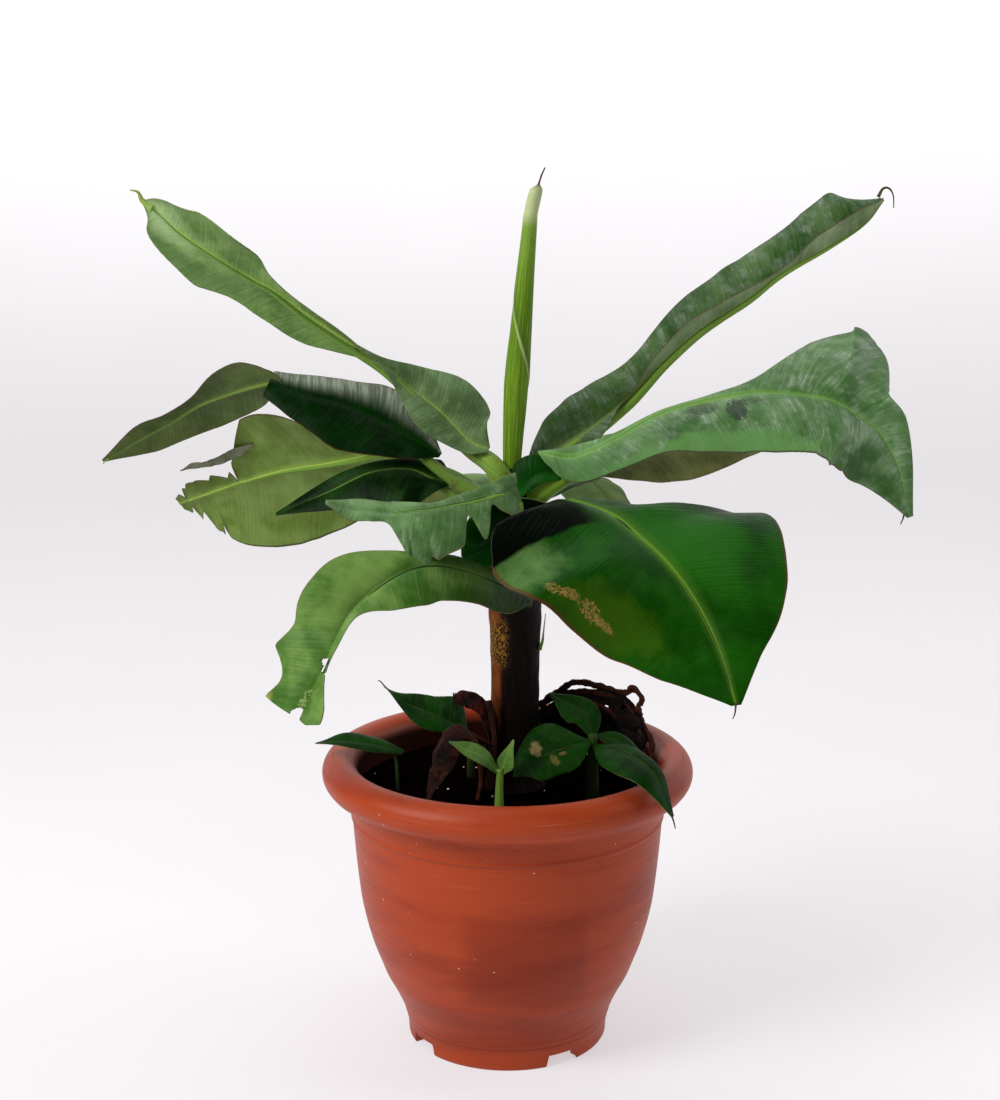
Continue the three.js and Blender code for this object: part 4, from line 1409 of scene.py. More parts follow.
class Canopy:
    """All leaves of the tall stem."""

    def leaves(self) -> list[Leaf]:
        """List the leaves.

        Returns:
            The leaves, from the top downwards, then the back ones and the two at the front.
        """
        upper_left_path: Rows = (
            (4, -6, 600), (-12, -9, 630), (-34, 2, 650), (-60, 3, 678),
            *rib_of(UPPER_LEFT_INNER, 3, 5), *rib_of(UPPER_LEFT_OUTER, 1),
        )
        front_left: Rows = (*FRONT_LEFT_INNER, *FRONT_LEFT_OUTER[1:])
        return [
            Leaf(
                ("leaf_upper_left",), "leaf_green",
                (
                    Blade(UPPER_LEFT_INNER, 180, 1.1, steps=90),
                    Blade(UPPER_LEFT_OUTER, 180, 1.6, steps=150, wave=2.6),
                ),
                (Stalk(upper_left_path, 13, bare=4, channel=0.4, sink=0.9),),
                replace(Side.PALE, deep=srgb(58, 84, 40), light=srgb(92, 118, 76), rib_share=0.4),
                replace(
                    Side.PALE, light=srgb(116, 150, 76), rib_width=2.6,
                    marks=(
                        Mark(0.18, 0.65, 0.2, 0.6, srgb(52, 74, 40), 0.8, 20.0, soft=0.7),
                        Mark(0.95, 0.1, 0.3, 1.4, srgb(164, 194, 134), 0.7, 12.0, soft=1.0),
                        Mark(0.62, -0.8, 0.25, 0.4, srgb(78, 110, 56), 0.6, 20.0, soft=1.0),
                    ),
                ),
            ),
            Leaf(
                ("leaf_left_inner",), "leaf_dark",
                (Blade(LEFT_INNER, 180, 2.2, pleat=0.22, pleat_length=6.0, wave=3.6),),
                (petiole(LEFT_INNER, 1, 12, (2, -10, 568), (-22, -20, 600), (-46, -20, 626),
                         end=0.3, channel=0.4, sink=1.6),),
                Side.DUSK, Side.GREY, EDGE_BROWN, STALK_RED,
            ),
            Leaf(
                ("leaf_left_outer",), "leaf_pale",
                (Blade(LEFT_OUTER, 180, 2.7, wave=1.8),),
                (petiole(LEFT_OUTER, 0, 2.2, sink=0.9),),
                Side.DARK, Side.GREY, EDGE_BROWN,
            ),
            Leaf(
                ("leaf_upper_right",), "leaf_green",
                (Blade(UPPER_RIGHT, 15, 3.3, steps=190, across=22, pleat=0.35, wave=4.0, uneven=0.09),),
                (petiole(UPPER_RIGHT, 2, 11, (10, 8, 580), (20, 12, 606), (34, 17, 632),
                         neck=0.8, fall=0.7, channel=0.3, sink=0.8),),
                replace(
                    Side.WAX_AND_SHEEN, deep=srgb(32, 66, 14), light=srgb(70, 100, 48), bloom_and_sheen=srgb(146, 158, 146),
                    bloom_and_sheen_share=0.45, vein=0.85, specular=0.15, rib=srgb(120, 146, 76), rib_width=2.4,
                ),
                replace(
                    Side.PALE, deep=srgb(88, 112, 66), light=srgb(132, 154, 108), bloom_and_sheen=srgb(164, 174, 154),
                    margin=srgb(110, 84, 70),
                ),
                EDGE_BROWN, STALK_YELLOW,
            ),
            Leaf(
                ("leaf_right",), "leaf_green",
                (Blade(RIGHT, 0, 4.4, steps=220, across=40, wave=3.6, pleat=0.3, pleat_length=7.0),),
                (petiole(RIGHT, 3, 12, (12, -4, 578), (36, -15, 606), (62, -21, 632),
                         channel=0.4, sink=1.0),),
                replace(
                    Side.WAX_AND_SHEEN, bloom_and_sheen=srgb(150, 168, 144), bloom_and_sheen_share=0.66, rib_width=3.2,
                    rib=srgb(104, 150, 66), rib_share=0.8, vein=0.9,
                    marks=(
                        Mark(0.38, -1.0, 0.24, 0.42, srgb(88, 134, 66), 0.85, 20.0, soft=0.6),
                        Mark(0.1, -0.6, 0.14, 0.9, srgb(64, 106, 48), 0.8, 20.0, soft=1.0),
                        Mark(0.363, -0.17, 0.03, 0.16, SMUDGE, 0.8, 300.0, 0.5),
                        Mark(0.345, -0.36, 0.016, 0.12, SMUDGE, 0.6, 300.0, 0.7),
                        Mark(0.414, -0.30, 0.02, 0.22, SMUDGE, 0.85, 260.0, 0.1),
                        Mark(0.432, -0.16, 0.03, 0.08, SMUDGE, 0.7, 300.0, 0.5),
                        Mark(0.308, -0.6, 0.02, 0.2, SMUDGE, 0.5, 260.0, 0.6),
                        Mark(0.9, -0.7, 0.14, 0.6, srgb(32, 78, 12), 0.9, 20.0, soft=1.0),
                    ),
                ),
                Side.PALE, EDGE_BROWN, STALK_YELLOW,
            ),
            Leaf(
                ("leaf_right",), "leaf_green",
                (Blade(SHEATH_RIGHT, 0, 4.9, steps=60, across=12, wave=1.0),), (),
                replace(
                    Side.DUSK, painted_sheen_side=0.0, rib_share=0.0, deep=srgb(4, 44, 2), light=srgb(20, 84, 14),
                ),
                replace(Side.DARK, light=srgb(20, 84, 14)), EDGE_BROWN, label="leaf_right_sheath",
            ),
            Leaf(
                ("leaf_low_left",), "leaf_pale",
                (
                    Blade(
                        LOW_LEFT, 160, 5.1, steps=200, across=34, ragged=0.4, wave=3.6,
                        tears=(
                            Tear(True, 0.74, 0.03, 0.96), Tear(True, 0.77, 0.15, 0.8),
                            Tear(True, 0.84, 0.1, 0.62), Tear(False, 0.93, 0.02, 0.5),
                            Tear(True, 0.965, 0.012, 0.6), Tear(False, 0.875, 0.008, 0.3),
                            Tear(False, 0.965, 0.012, 0.6),
                        ),
                    ),
                ),
                (petiole(LOW_LEFT, 1, 9, (2, 10, 560), (-28, 24, 594), (-62, 34, 620), sink=0.6),),
                Side.MID,
                replace(
                    Side.OLIVE, light=srgb(108, 132, 64), rib=srgb(152, 182, 72), rib_width=2.6,
                    rib_share=1.0, margin=srgb(60, 44, 24),
                ),
                EDGE_BROWN, STALK_YELLOW,
            ),
            Leaf(
                ("leaf_low_left",), "leaf_pale",
                (Blade(STRIP, 165, 5.6, steps=60, across=8, crumple=1.2, wave=1.5, ragged=0.8,
                       thickness=0.8),),
                (), Side.DRY, Side.DRY, EDGE_BROWN, label="leaf_low_left_strip",
            ),
            Leaf(
                ("leaf_small_left",), "leaf_dark",
                (Blade(SMALL_LEFT, 195, 6.2),),
                (petiole(SMALL_LEFT, 1, 9, (2, -8, 538), (-22, -18, 570), (-44, -18, 600), sink=1.0),),
                replace(Side.DUSK, painted_sheen_side=0.0, light=srgb(24, 56, 12), rib=srgb(60, 92, 30)), Side.OLIVE,
                EDGE_BROWN, STALK_RED,
            ),
            Leaf(
                ("leaf_torn_front",), "leaf_green",
                (
                    Blade(
                        TORN_FRONT, 215, 7.5, steps=190, across=26, wave=3.4,
                        tears=(Tear(True, 0.385, 0.01, 0.4), Tear(True, 0.58, 0.02, 0.16),
                               Tear(True, 0.67, 0.012, 0.2)),
                    ),
                ),
                (petiole(TORN_FRONT, 2, 7, (8, -12, 560), (12, -34, 588), (8, -44, 610),
                         bare=2, neck=0.4, sink=1.2),),
                replace(
                    Side.WAX_AND_SHEEN, deep=srgb(56, 92, 40), light=srgb(94, 134, 76), bloom_and_sheen=srgb(134, 160, 120),
                    bloom_and_sheen_share=0.5, rib_share=0.05, vein=0.3, margin=srgb(128, 112, 56),
                ),
                Side.OLIVE, EDGE_BROWN,
            ),
            Leaf(
                ("leaf_back_right",), "leaf_pale",
                (Blade(BACK_RIGHT, 35, 8.3, steps=140),),
                (petiole(BACK_RIGHT, 1, 9, (12, 8, 552), (30, 26, 592), sink=0.8),),
                replace(Side.OLIVE, deep=srgb(66, 70, 26), light=srgb(104, 108, 56), rib_share=0.4),
                replace(Side.OLIVE, deep=srgb(76, 78, 32), light=srgb(110, 112, 62)),
                EDGE_BROWN, STALK_YELLOW,
            ),
            Leaf(
                ("leaf_back",), "leaf_green",
                (Blade(BACK, 65, 9.4, steps=120),),
                (petiole(BACK, 1, 8, (10, 10, 528), (20, 30, 566), sink=0.8),),
                Side.WAX_AND_SHEEN, Side.PALE,
            ),
            Leaf(
                ("leaf_back_left",), "leaf_dark",
                (Blade(BACK_LEFT, 115, 10.2, steps=120),),
                (petiole(BACK_LEFT, 1, 8, (2, 10, 528), (-8, 30, 564), sink=0.8),),
                Side.MID, Side.OLIVE, stalk_finish=STALK_YELLOW,
            ),
            Leaf(
                ("leaf_front_right",), "leaf_dark",
                (Blade(FRONT_RIGHT, -75, 11.7, steps=150, across=56, wave=3.0),),
                (petiole(FRONT_RIGHT, 2, 9, (12, -8, 530), (34, -30, 572), (56, -46, 602), sink=1.1),),
                LeafSide(
                    srgb(8, 54, 0), srgb(19, 74, 2), srgb(96, 134, 40), srgb(88, 120, 60), 0.04, 0.4,
                    specular=0.04, vein=0.4, margin=srgb(84, 44, 26), rib_width=4.4,
                    # Painted shade: the fold above the crease goes near black
                    foot=srgb(0, 5, 0), foot_reach=0.288, foot_soft=0.06, foot_side=-1.0,
                    marks=(
                        # Painted light: the lit strip just below the crease
                        Mark(0.31, -0.95, 0.17, 0.5, srgb(84, 118, 62), 0.85, 16.0, soft=1.0),
                        Mark(0.66, -0.75, 0.2, 0.4, srgb(62, 96, 10), 0.5, 20.0, soft=1.0),
                        Mark(0.5, 0.3, 0.3, 0.45, srgb(26, 90, 4), 0.7, 8.0, soft=1.0),
                        Mark(0.34, 0.9, 0.26, 0.4, srgb(3, 42, 2), 0.7, 8.0, soft=1.0),
                        Mark(0.49, -0.86, 0.05, 0.045, SCAR, 1.0, 330.0, 1.0),
                        Mark(0.53, -0.82, 0.03, 0.05, SCAR, 0.9, 380.0, 0.7),
                        Mark(0.60, -0.82, 0.05, 0.05, SCAR, 1.0, 330.0, 1.0),
                        Mark(0.64, -0.80, 0.04, 0.04, SCAR, 0.9, 380.0, 0.7),
                        Mark(0.585, -0.78, 0.03, 0.05, SCAR, 1.0, 300.0, 1.0),
                    ),
                ),
                Side.OLIVE, EDGE_SHADE, STALK_DARK,
            ),
            Leaf(
                ("leaf_front_right",), "leaf_dark",
                (Blade(FOLD_RIGHT, 195, 11.9, steps=80, across=16, wave=2.0),), (),
                replace(
                    Side.DUSK, painted_sheen_side=0.0, rib_share=0.0, deep=srgb(2, 36, 0), light=srgb(12, 74, 6),
                    # Painted shade over most of the fold
                    margin=srgb(112, 128, 78), foot=srgb(0, 6, 0), foot_reach=0.75, foot_soft=0.5,
                ),
                Side.DARK, EDGE_SHADE, label="leaf_front_right_fold",
            ),
            Leaf(
                ("leaf_front_left_inner", "leaf_front_left_outer"), "leaf_green",
                (
                    Blade(
                        front_left, 220, 12.3, steps=300, across=36, wave=2.8, uneven=0.02,
                        tears=(Tear(True, 1.0, 0.035, 0.6), Tear(True, 0.80, 0.006, 0.4)),
                        holes=(Hole(0.765, 0.1, 4.5), Hole(0.79, 0.16, 3.0), Hole(0.999, -0.08, 8.0),
                               Hole(0.975, -0.04, 3.5), Hole(0.93, 0.05, 1.6)),
                    ),
                ),
                (petiole(front_left, 1, 6.5, (12, -12, 480), (20, -34, 494), sink=1.2),),
                replace(
                    # Painted shade over the inner part near the stem
                    Side.MID, vein=0.3, foot=srgb(2, 30, 0), foot_reach=0.46, rib_share=0.25,
                    marks=(
                        Mark(0.93, -0.05, 0.06, 0.16, srgb(150, 176, 104), 0.7, 110.0, 1.0),
                        Mark(1.0, -1.0, 0.05, 0.3, srgb(150, 156, 60), 0.7, 60.0, soft=1.0),
                    ),
                ),
                Side.OLIVE, EDGE_BROWN, STALK_DARK,
            ),
        ]

    def build(self) -> None:
        """Make every leaf."""
        for leaf in self.leaves():
            leaf.build()


class Undergrowth:
    """Suckers and dead leaves round the foot of the stem."""

    def leaves(self) -> list[Leaf]:
        """List the small leaves.

        Returns:
            The leaves.
        """
        start = SOIL_LEVEL - 6
        small = {"steps": 60, "across": 12, "wave": 1.2, "pleat": 0.25, "pleat_length": 6.0, "thickness": 0.8}
        young = replace(Side.DARK, deep=srgb(4, 32, 2), light=srgb(20, 62, 8), rib_share=0.14, rib_width=0.9)
        return [
            Leaf(
                ("sucker_right",), "leaf_dark",
                (
                    Blade(((86, -48, 346, 4, -20, 4, 20), (65, -58, 343, 24, -50, 30, 35),
                           (42, -66, 338, 27, -40, 35, 35), (20, -75, 330, 24, -40, 18, 30),
                           (6, -82, 318, 2, 0, 2, 0)), 200, 20.1, **small),
                ),
                (Stalk(((88, -46, 340), (65, -58, 343), (42, -66, 338), (6, -82, 318)), 3.2, end=0.6,
                       sink=0.8),),
                replace(
                    young,
                    marks=(
                        Mark(0.592, -0.34, 0.08, 0.34, srgb(140, 124, 78), 0.85, 170.0, 0.3, 0.8),
                        Mark(0.467, 0.38, 0.06, 0.34, srgb(120, 104, 60), 0.8, 170.0, 0.3, 0.8),
                        Mark(0.36, 0.2, 0.05, 0.1, srgb(110, 96, 54), 0.7, 180.0),
                    ),
                ),
                Side.OLIVE, stalk_finish=STALK_DARK, label="sucker_right_low",
            ),
            Leaf(
                ("sucker_right",), "leaf_dark",
                (
                    Blade(((92, -50, 342, 4, 0, 4, -20), (112, -76, 347, 12, 10, 26, -22),
                           (132, -104, 345, 14, 5, 32, -18), (150, -130, 334, 12, 0, 26, -12),
                           (165, -151, 300, 2, 0, 2, 0)), -40, 20.5, **small),
                    Blade(((95, -42, 350, 3, 20, 3, -20), (112, -42, 347, 10, 30, 15, -30),
                           (128, -44, 340, 10, 20, 12, -30), (142, -46, 332, 2, 0, 2, 0)), 0, 20.9, **small),
                    Blade(((90, -36, 346, 3, -30, 3, 30), (84, -18, 364, 19, -30, 17, 30),
                           (68, -8, 374, 19, -30, 14, 30), (45, 2, 384, 2, 0, 2, 0)), 150, 21.3, **small),
                ),
                (
                    Stalk(((90, -44, start), (90, -44, 316), (90, -44, 352)), 8, end=5),
                    Stalk(((90, -48, 338), (112, -76, 347), (132, -104, 345), (150, -130, 334),
                           (165, -151, 300)), 3.2, end=0.6, sink=0.5),
                    Stalk(((90, -40, 338), (84, -18, 364), (68, -8, 374), (45, 2, 384)), 3.0, end=0.6,
                          sink=0.5),
                ),
                young, Side.OLIVE, stalk_finish=STALK_DARK,
            ),
            Leaf(
                ("sucker_front",), "young_green",
                (
                    Blade(((-10, -98, 328, 3, -20, 3, 30), (-25, -100, 345, 10, -30, 12, 30),
                           (-43, -104, 355, 8, -30, 11, 30), (-60, -106, 364, 2, 0, 2, 0)), 180, 22.1,
                          **small),
                    Blade(((-7, -97, 326, 3, 20, 3, -20), (-3, -95, 338, 10, 30, 12, -30),
                           (6, -94, 362, 2, 0, 2, 0)), 20, 22.6, **small),
                ),
                (Stalk(((-9, -100, start), (-9, -100, 305), (-8, -98, 332)), 6, end=3.5),),
                Side.MID, Side.PALE, stalk_finish=STALK_YELLOW,
            ),
            Leaf(
                ("sucker_left",), "leaf_dark",
                (
                    Blade(((-45, 35, 330, 3, -20, 3, 30), (-65, 40, 340, 16, -40, 32, 45),
                           (-90, 45, 350, 22, -40, 24, 40), (-115, 50, 360, 8, -40, 14, 40),
                           (-135, 55, 375, 1, 0, 1, 0)), 190, 23.2, **small),
                ),
                (
                    Stalk(((-40, 32, start), (-42, 33, 310), (-52, 37, 334)), 5, end=3),
                    Stalk(((-45, 35, 328), (-65, 40, 340), (-90, 45, 350), (-115, 50, 360),
                           (-137, 56, 378)), 2.4, end=0.5, sink=0.5),
                ),
                young, Side.OLIVE, stalk_finish=STALK_DARK,
            ),
            Leaf(
                ("sucker_rim_left",), "leaf_dark",
                (
                    Blade(((-112, -12, 322, 3, -20, 3, 30), (-145, -14, 331, 12, -20, 15, 15),
                           (-175, -16, 336, 11, -15, 14, 20), (-205, -18, 334, 1.6, 0, 1.6, 0)), 180, 24.4,
                          **small),
                ),
                (
                    Stalk(((-118, -12, start), (-119, -12, 305), (-122, -12, 324)), 2.4, end=1.8),
                    Stalk(((-116, -12, 322), (-145, -14, 331), (-175, -16, 336), (-206, -18, 334)), 1.8,
                          end=0.5, sink=0.5),
                ),
                young, Side.MID, stalk_finish=STALK_DARK,
            ),
            Leaf(
                ("dead_leaf_right",), "dead_leaf",
                (
                    Blade(((30, 30, 350, 6, -20, 26, -80), (60, 30, 372, 14, -50, 50, -80),
                           (98, 26, 382, 15, -60, 60, -82), (132, 20, 372, 20, -70, 58, -85),
                           (148, 12, 345, 20, -60, 34, -80), (150, 4, 312, 4, 0, 8, -60)), 0, 30.5,
                          steps=110, across=26, crumple=4.0, ragged=0.8, thickness=0.8, wave=4.0,
                          holes=(Hole(0.36, 0.1, 3.0), Hole(0.55, 0.3, 4.0), Hole(0.62, -0.2, 5.0),
                                 Hole(0.47, -0.3, 3.0))),
                ),
                (
                    Stalk(((35, 34, 360), (62, 32, 381), (75, 30, 388), (101, 28, 384), (128, 26, 377),
                           (136, 24, 383), (146, 20, 372), (142, 18, 363), (149, 14, 342), (157, 8, 326),
                           (155, 2, 306)), 3.8, end=2.4, crumple=3.0),
                    Stalk(((48, 32, 370), (78, 27, 378), (104, 24, 376), (130, 20, 366), (138, 14, 350),
                           (146, 8, 330), (148, 2, 304)), 4.0, end=2.2, crumple=2.4),
                    Stalk(((40, 30, 350), (64, 24, 366), (90, 20, 368), (114, 14, 356), (124, 6, 332),
                           (126, 0, 300)), 3.0, end=2.0, crumple=2.0),
                ),
                DEAD_BROWN, DEAD_BROWN, EDGE_DEAD, STALK_BROWN,
            ),
            Leaf(
                ("dead_leaf_left",), "dead_leaf",
                (
                    Blade(((-24, -36, 338, 5, -20, 5, 20), (-48, -50, 356, 14, -50, 14, 20),
                           (-66, -58, 346, 20, -40, 14, 0), (-77, -66, 320, 20, -20, 12, -10),
                           (-84, -72, 290, 6, 0, 6, 0)), 205, 31.3, steps=80, across=16, crumple=2.6,
                          ragged=0.8, thickness=0.8, wave=3.0),
                ),
                (
                    Stalk(((-8, -16, 330), (-20, -32, 338), (-44, -48, 354), (-66, -58, 346)), 3.5,
                          crumple=0.8),
                    Stalk(((-46, -52, 354), (-36, -58, 350), (-30, -62, 332), (-28, -66, 308),
                           (-32, -68, 288)), 4.0, end=2.0, crumple=1.4),
                ),
                DeadFinish(srgb(14, 4, 3), srgb(56, 22, 12), srgb(104, 62, 40)),
                DeadFinish(srgb(14, 4, 3), srgb(84, 27, 15), srgb(120, 66, 42)), EDGE_DEAD, STALK_BROWN,
            ),
            Leaf(
                ("dead_sheath",), "dead_leaf",
                (
                    Blade(((-10, -24, 312, 8, -30, 8, 30), (-16, -24, 345, 9, -30, 9, 30),
                           (-22, -22, 372, 10, -60, 8, 30), (-40, -20, 386, 12, -60, 8, 30),
                           (-58, -20, 385, 10, -50, 7, 30)), 180, 32.8, steps=70, across=12, crumple=2.6,
                          ragged=0.8, wave=2.0),
                ),
                (Stalk(((-21, -28, 384), (-17, -29, 366), (-14, -30, 340), (-17, -31, 310),
                        (-20, -32, 286)), 3.6, end=2.4, crumple=1.2),),
                DEAD_MAROON, DEAD_MAROON, EDGE_DEAD, STALK_DEAD,
            ),
        ]

    def build(self) -> None:
        """Make every small leaf."""
        for leaf in self.leaves():
            leaf.build()


@dataclass
class Stem:
    """False stem of wrapped leaf bases, with the rolled young leaf on top and a sprout at its side."""

    rings: Rows = (
        (STEM_X, 281.5, 33), (STEM_X, 292, 30), (STEM_X, 310, 27.5), (STEM_X, 345, 26), (STEM_X, 400, 25.5),
        (STEM_X, 440, 26.5), (STEM_X, 490, 28), (7, 540, 29), (6, 580, 26), (5, 608, 19), (4.5, 630, 10),
    )
    spear: Rows = (
        (4.5, 626, 9), (5.5, 655, 10.5), (8, 700, 12.6), (9.5, 726, 13), (13, 770, 11.6), (18, 830, 9.4),
        (23, 890, 7.6), (25.5, 903, 7.3), (28.5, 916, 6.4), (31, 920.5, 1.5), (34, 930, 1.0),
        (37.5, 937.5, 0.8),
    )
    # Segments up and round the stem and the young leaf
    stem_grid: tuple[int, int] = (260, 128)
    spear_grid: tuple[int, int] = (220, 56)
    # Edges of the wrapped leaf bases: angle, and lean per millimetre of height
    wraps: Rows = ((0.4, 0.004), (2.2, -0.003), (3.9, 0.005), (5.3, -0.004))
    wrap_height: float = 1.3
    # Share of a turn over which an edge rises
    wrap_edge: float = 0.012
    under: float = 1.2
    rib_height: float = 0.12
    ribs: int = 38
    flake_height: float = 1.6

    def turned(
        self, rows: Rows, steps: int, sides: int, relief: Callable[[float, float, float], float]
    ) -> bmesh.types.BMesh:
        """Make a round column with relief.

        Args:
            rows: Rows of centre x, height and radius.
            steps: Segments up the column.
            sides: Segments round it.
            relief: Function of angle, height and radius that gives the radius.

        Returns:
            The mesh, in metres.
        """
        mesh, points = unit_grid(steps, sides)
        low, high = rows[0][1], rows[-1][1]
        places = {}
        mesh.verts.index_update()
        table = {}
        for t in row_shares(points):
            height = low + (high - low) * t
            i = max(k for k, row in enumerate(rows[:-1]) if row[1] <= height + 1e-6)
            share = (height - rows[i][1]) / (rows[i + 1][1] - rows[i][1])
            centre, _, radius = along(rows, (i + share) / (len(rows) - 1))
            table[t] = (centre, height, radius)
        for point, t, v in points:
            centre, height, radius = table[row_key(t)]
            turn = 2 * math.pi * v
            reach = relief(turn, height, radius)
            point.co = Vector((centre + reach * math.cos(turn), reach * math.sin(turn), height)) * MM
            places[point.index] = ((height - low) * MM, 0.0, t, v)
        close_tube(mesh, places)
        return mesh

    def sheaths(self, turn: float, height: float, radius: float) -> float:
        """Radius of the wrapped leaf bases.

        Args:
            turn: Angle in radians.
            height: Height in millimetres.
            radius: Plain radius.

        Returns:
            The radius with overlaps and ribs.
        """
        wrap = 0.0
        for k, (at, lean) in enumerate(self.wraps):
            edge = (turn - at - lean * (height - 400) + 0.25 * rough(height / 60, k, 3)) / (2 * math.pi) % 1.0
            if edge < 0.5:
                wrap += self.wrap_height * (1 - edge * 2) * smooth(0.0, self.wrap_edge, edge)
        sway = 2 * rough(math.cos(turn), height / 50, 5 + 0.1 * math.sin(turn))
        rib = self.rib_height * math.sin(turn * self.ribs + sway)
        flake = self.flake_height * max(0.0, rough(math.cos(turn) * 2.4, height / 26, math.sin(turn) * 0.3))
        return radius - self.under + wrap + rib + flake

    def rolled(self, turn: float, height: float, radius: float) -> float:
        """Radius of the rolled leaf.

        Args:
            turn: Angle in radians.
            height: Height in millimetres.
            radius: Plain radius.

        Returns:
            The radius with its seam.
        """
        low, high = self.spear[0][1], self.spear[-1][1]
        seam = (turn / (2 * math.pi) + SEAM_TURNS * (height - low) / (high - low) - 0.5) % 1.0
        return radius * (0.94 + 0.09 * (1 - seam) * smooth(0.0, 0.03, seam))

    def build(self) -> None:
        """Make the stem, the young leaf and the sprout."""
        stem = self.turned(self.rings, *self.stem_grid, self.sheaths)
        bark = SheathFinish().material("stem_sheaths")
        Piece("stem_sheaths", stem, [bark], ("trunk",), "stem_sheath").finish()
        spear = self.turned(self.spear, *self.spear_grid, self.rolled)
        young = SpearFinish().material("rolled_leaf")
        Piece("rolled_leaf", spear, [young], ("spear",), "young_green").finish()
        sprout = Stalk(((34, -10, 436), (37, -13, 446), (38, -14, 456), (40, -15, 476)), 2.6, end=0.4)
        finish = StalkFinish(srgb(104, 150, 66), srgb(150, 168, 110), srgb(90, 70, 40))
        Piece("stem_sprout", sprout.mesh(), [finish.material("stem_sprout", 4.0)], (), "young_green").finish()


def sort_faces(mesh: bmesh.types.BMesh) -> None:
    """Sort the faces by their points, because spin lists them in another order from run to run."""
    mesh.verts.index_update()
    numbers = {face: [point.index for point in face.verts] for face in mesh.faces}
    mesh.faces.sort(key=lambda face: max(numbers[face]) * len(mesh.verts) + min(numbers[face]))


@dataclass
class Pot:
    """Round plastic pot with a rolled lip, bead lines and a notched foot ring."""

    wall: Rows = (
        (108.7, 0), (110.5, 20), (116, 38), (124.5, 57), (134, 75), (141, 93), (147.6, 111), (152.8, 129),
        (157, 147), (160, 164), (164, 200), (167, 236), (168.5, 256), (172, 275), (180, 283),
    )
    lip_radius: float = 181.0
    lip_height: float = 301.6
    lip_tube: float = 18.9
    thickness: float = 4.0
    base_lift: float = 14.0
    foot_inner: float = 96.0
    foot_outer: float = 107.6
    foot_round: float = 0.8
    base_round: float = 2.0
    base_inner: float = 103.0
    inner_top: float = 270.0
    notch_half: float = 19.0
    notch_height: float = 13.0
    notch_turn: float = -57.0
    # Raised and sunk rings of the wall: height, reach and half width
    rings: Rows = (
        (FOOT_LINE - 4, 0.9, 1.2), (FOOT_LINE + 4, 0.7, 1.4),
        (BEAD_LINE + 1.5, 1.5, 1.5), (BEAD_LINE - 2, -0.5, 1.2),
    )
    wall_steps: int = 130
    # Angles in degrees where the lip starts and how far it rolls, and the line on it: step, reach, half width
    lip_start: float = -88.0
    lip_roll: float = 270.0
    lip_steps: int = 48
    lip_line: Row = (6.5, 0.5, 0.8)
    turns: int = 240

    def outline(self) -> list[tuple[float, float]]:
        """Profile from the axis under the base, over the lip, to the axis inside.

        Returns:
            Points of radius and height.
        """
        base = self.base_lift
        foot = self.foot_inner
        points = [(0.0, base), (foot - self.base_round, base), (foot, base - self.base_round)]
        points += [(foot, self.foot_round), (foot + self.foot_round, 0.0), (self.foot_outer, 0.0)]
        for i in range(1, self.wall_steps + 1):
            r, z = along(self.wall, i / self.wall_steps)
            r += sum(reach * math.exp(-(((z - at) / half) ** 2)) for at, reach, half in self.rings)
            points.append((r, z))
        at, high, half = self.lip_line
        for i in range(self.lip_steps + 1):
            turn = math.radians(self.lip_start + self.lip_roll * i / self.lip_steps)
            reach = self.lip_tube + high * math.exp(-(((i - at) / half) ** 2))
            r = self.lip_radius + reach * math.cos(turn)
            points.append((r, self.lip_height + reach * math.sin(turn)))
        floor = base + self.thickness
        points += [(r - self.thickness, z) for r, z in reversed(self.wall) if floor < z < self.inner_top]
        points += [(self.base_inner, floor), (0.0, floor)]
        return points

    def build(self) -> None:
        """Make the pot."""
        mesh = bmesh.new()
        chain = [mesh.verts.new((r * MM, 0.0, z * MM)) for r, z in self.outline()]
        edges = [mesh.edges.new(pair) for pair in zip(chain, chain[1:])]
        bmesh.ops.spin(
            mesh, geom=chain + edges, cent=(0, 0, 0), axis=(0, 0, 1), angle=2 * math.pi, steps=self.turns,
            use_merge=True,
        )
        sort_faces(mesh)
        bmesh.ops.remove_doubles(mesh, verts=mesh.verts[:], dist=MERGE)
        for point in mesh.verts:
            x, y, z = point.co / MM
            if z >= self.notch_height or math.hypot(x, y) < self.foot_inner - 1:
                continue
            turn = (math.degrees(math.atan2(y, x)) - self.notch_turn + 45) % 90 - 45
            if math.hypot(x, y) * abs(math.sin(math.radians(turn))) < self.notch_half:
                point.co.z = self.notch_height * MM
        bmesh.ops.dissolve_degenerate(mesh, edges=mesh.edges[:], dist=MERGE)
        plastic = PlasticFinish().material("pot_shell")
        Piece("pot_shell", mesh, [plastic], ("pot",), "terracotta_plastic").finish()


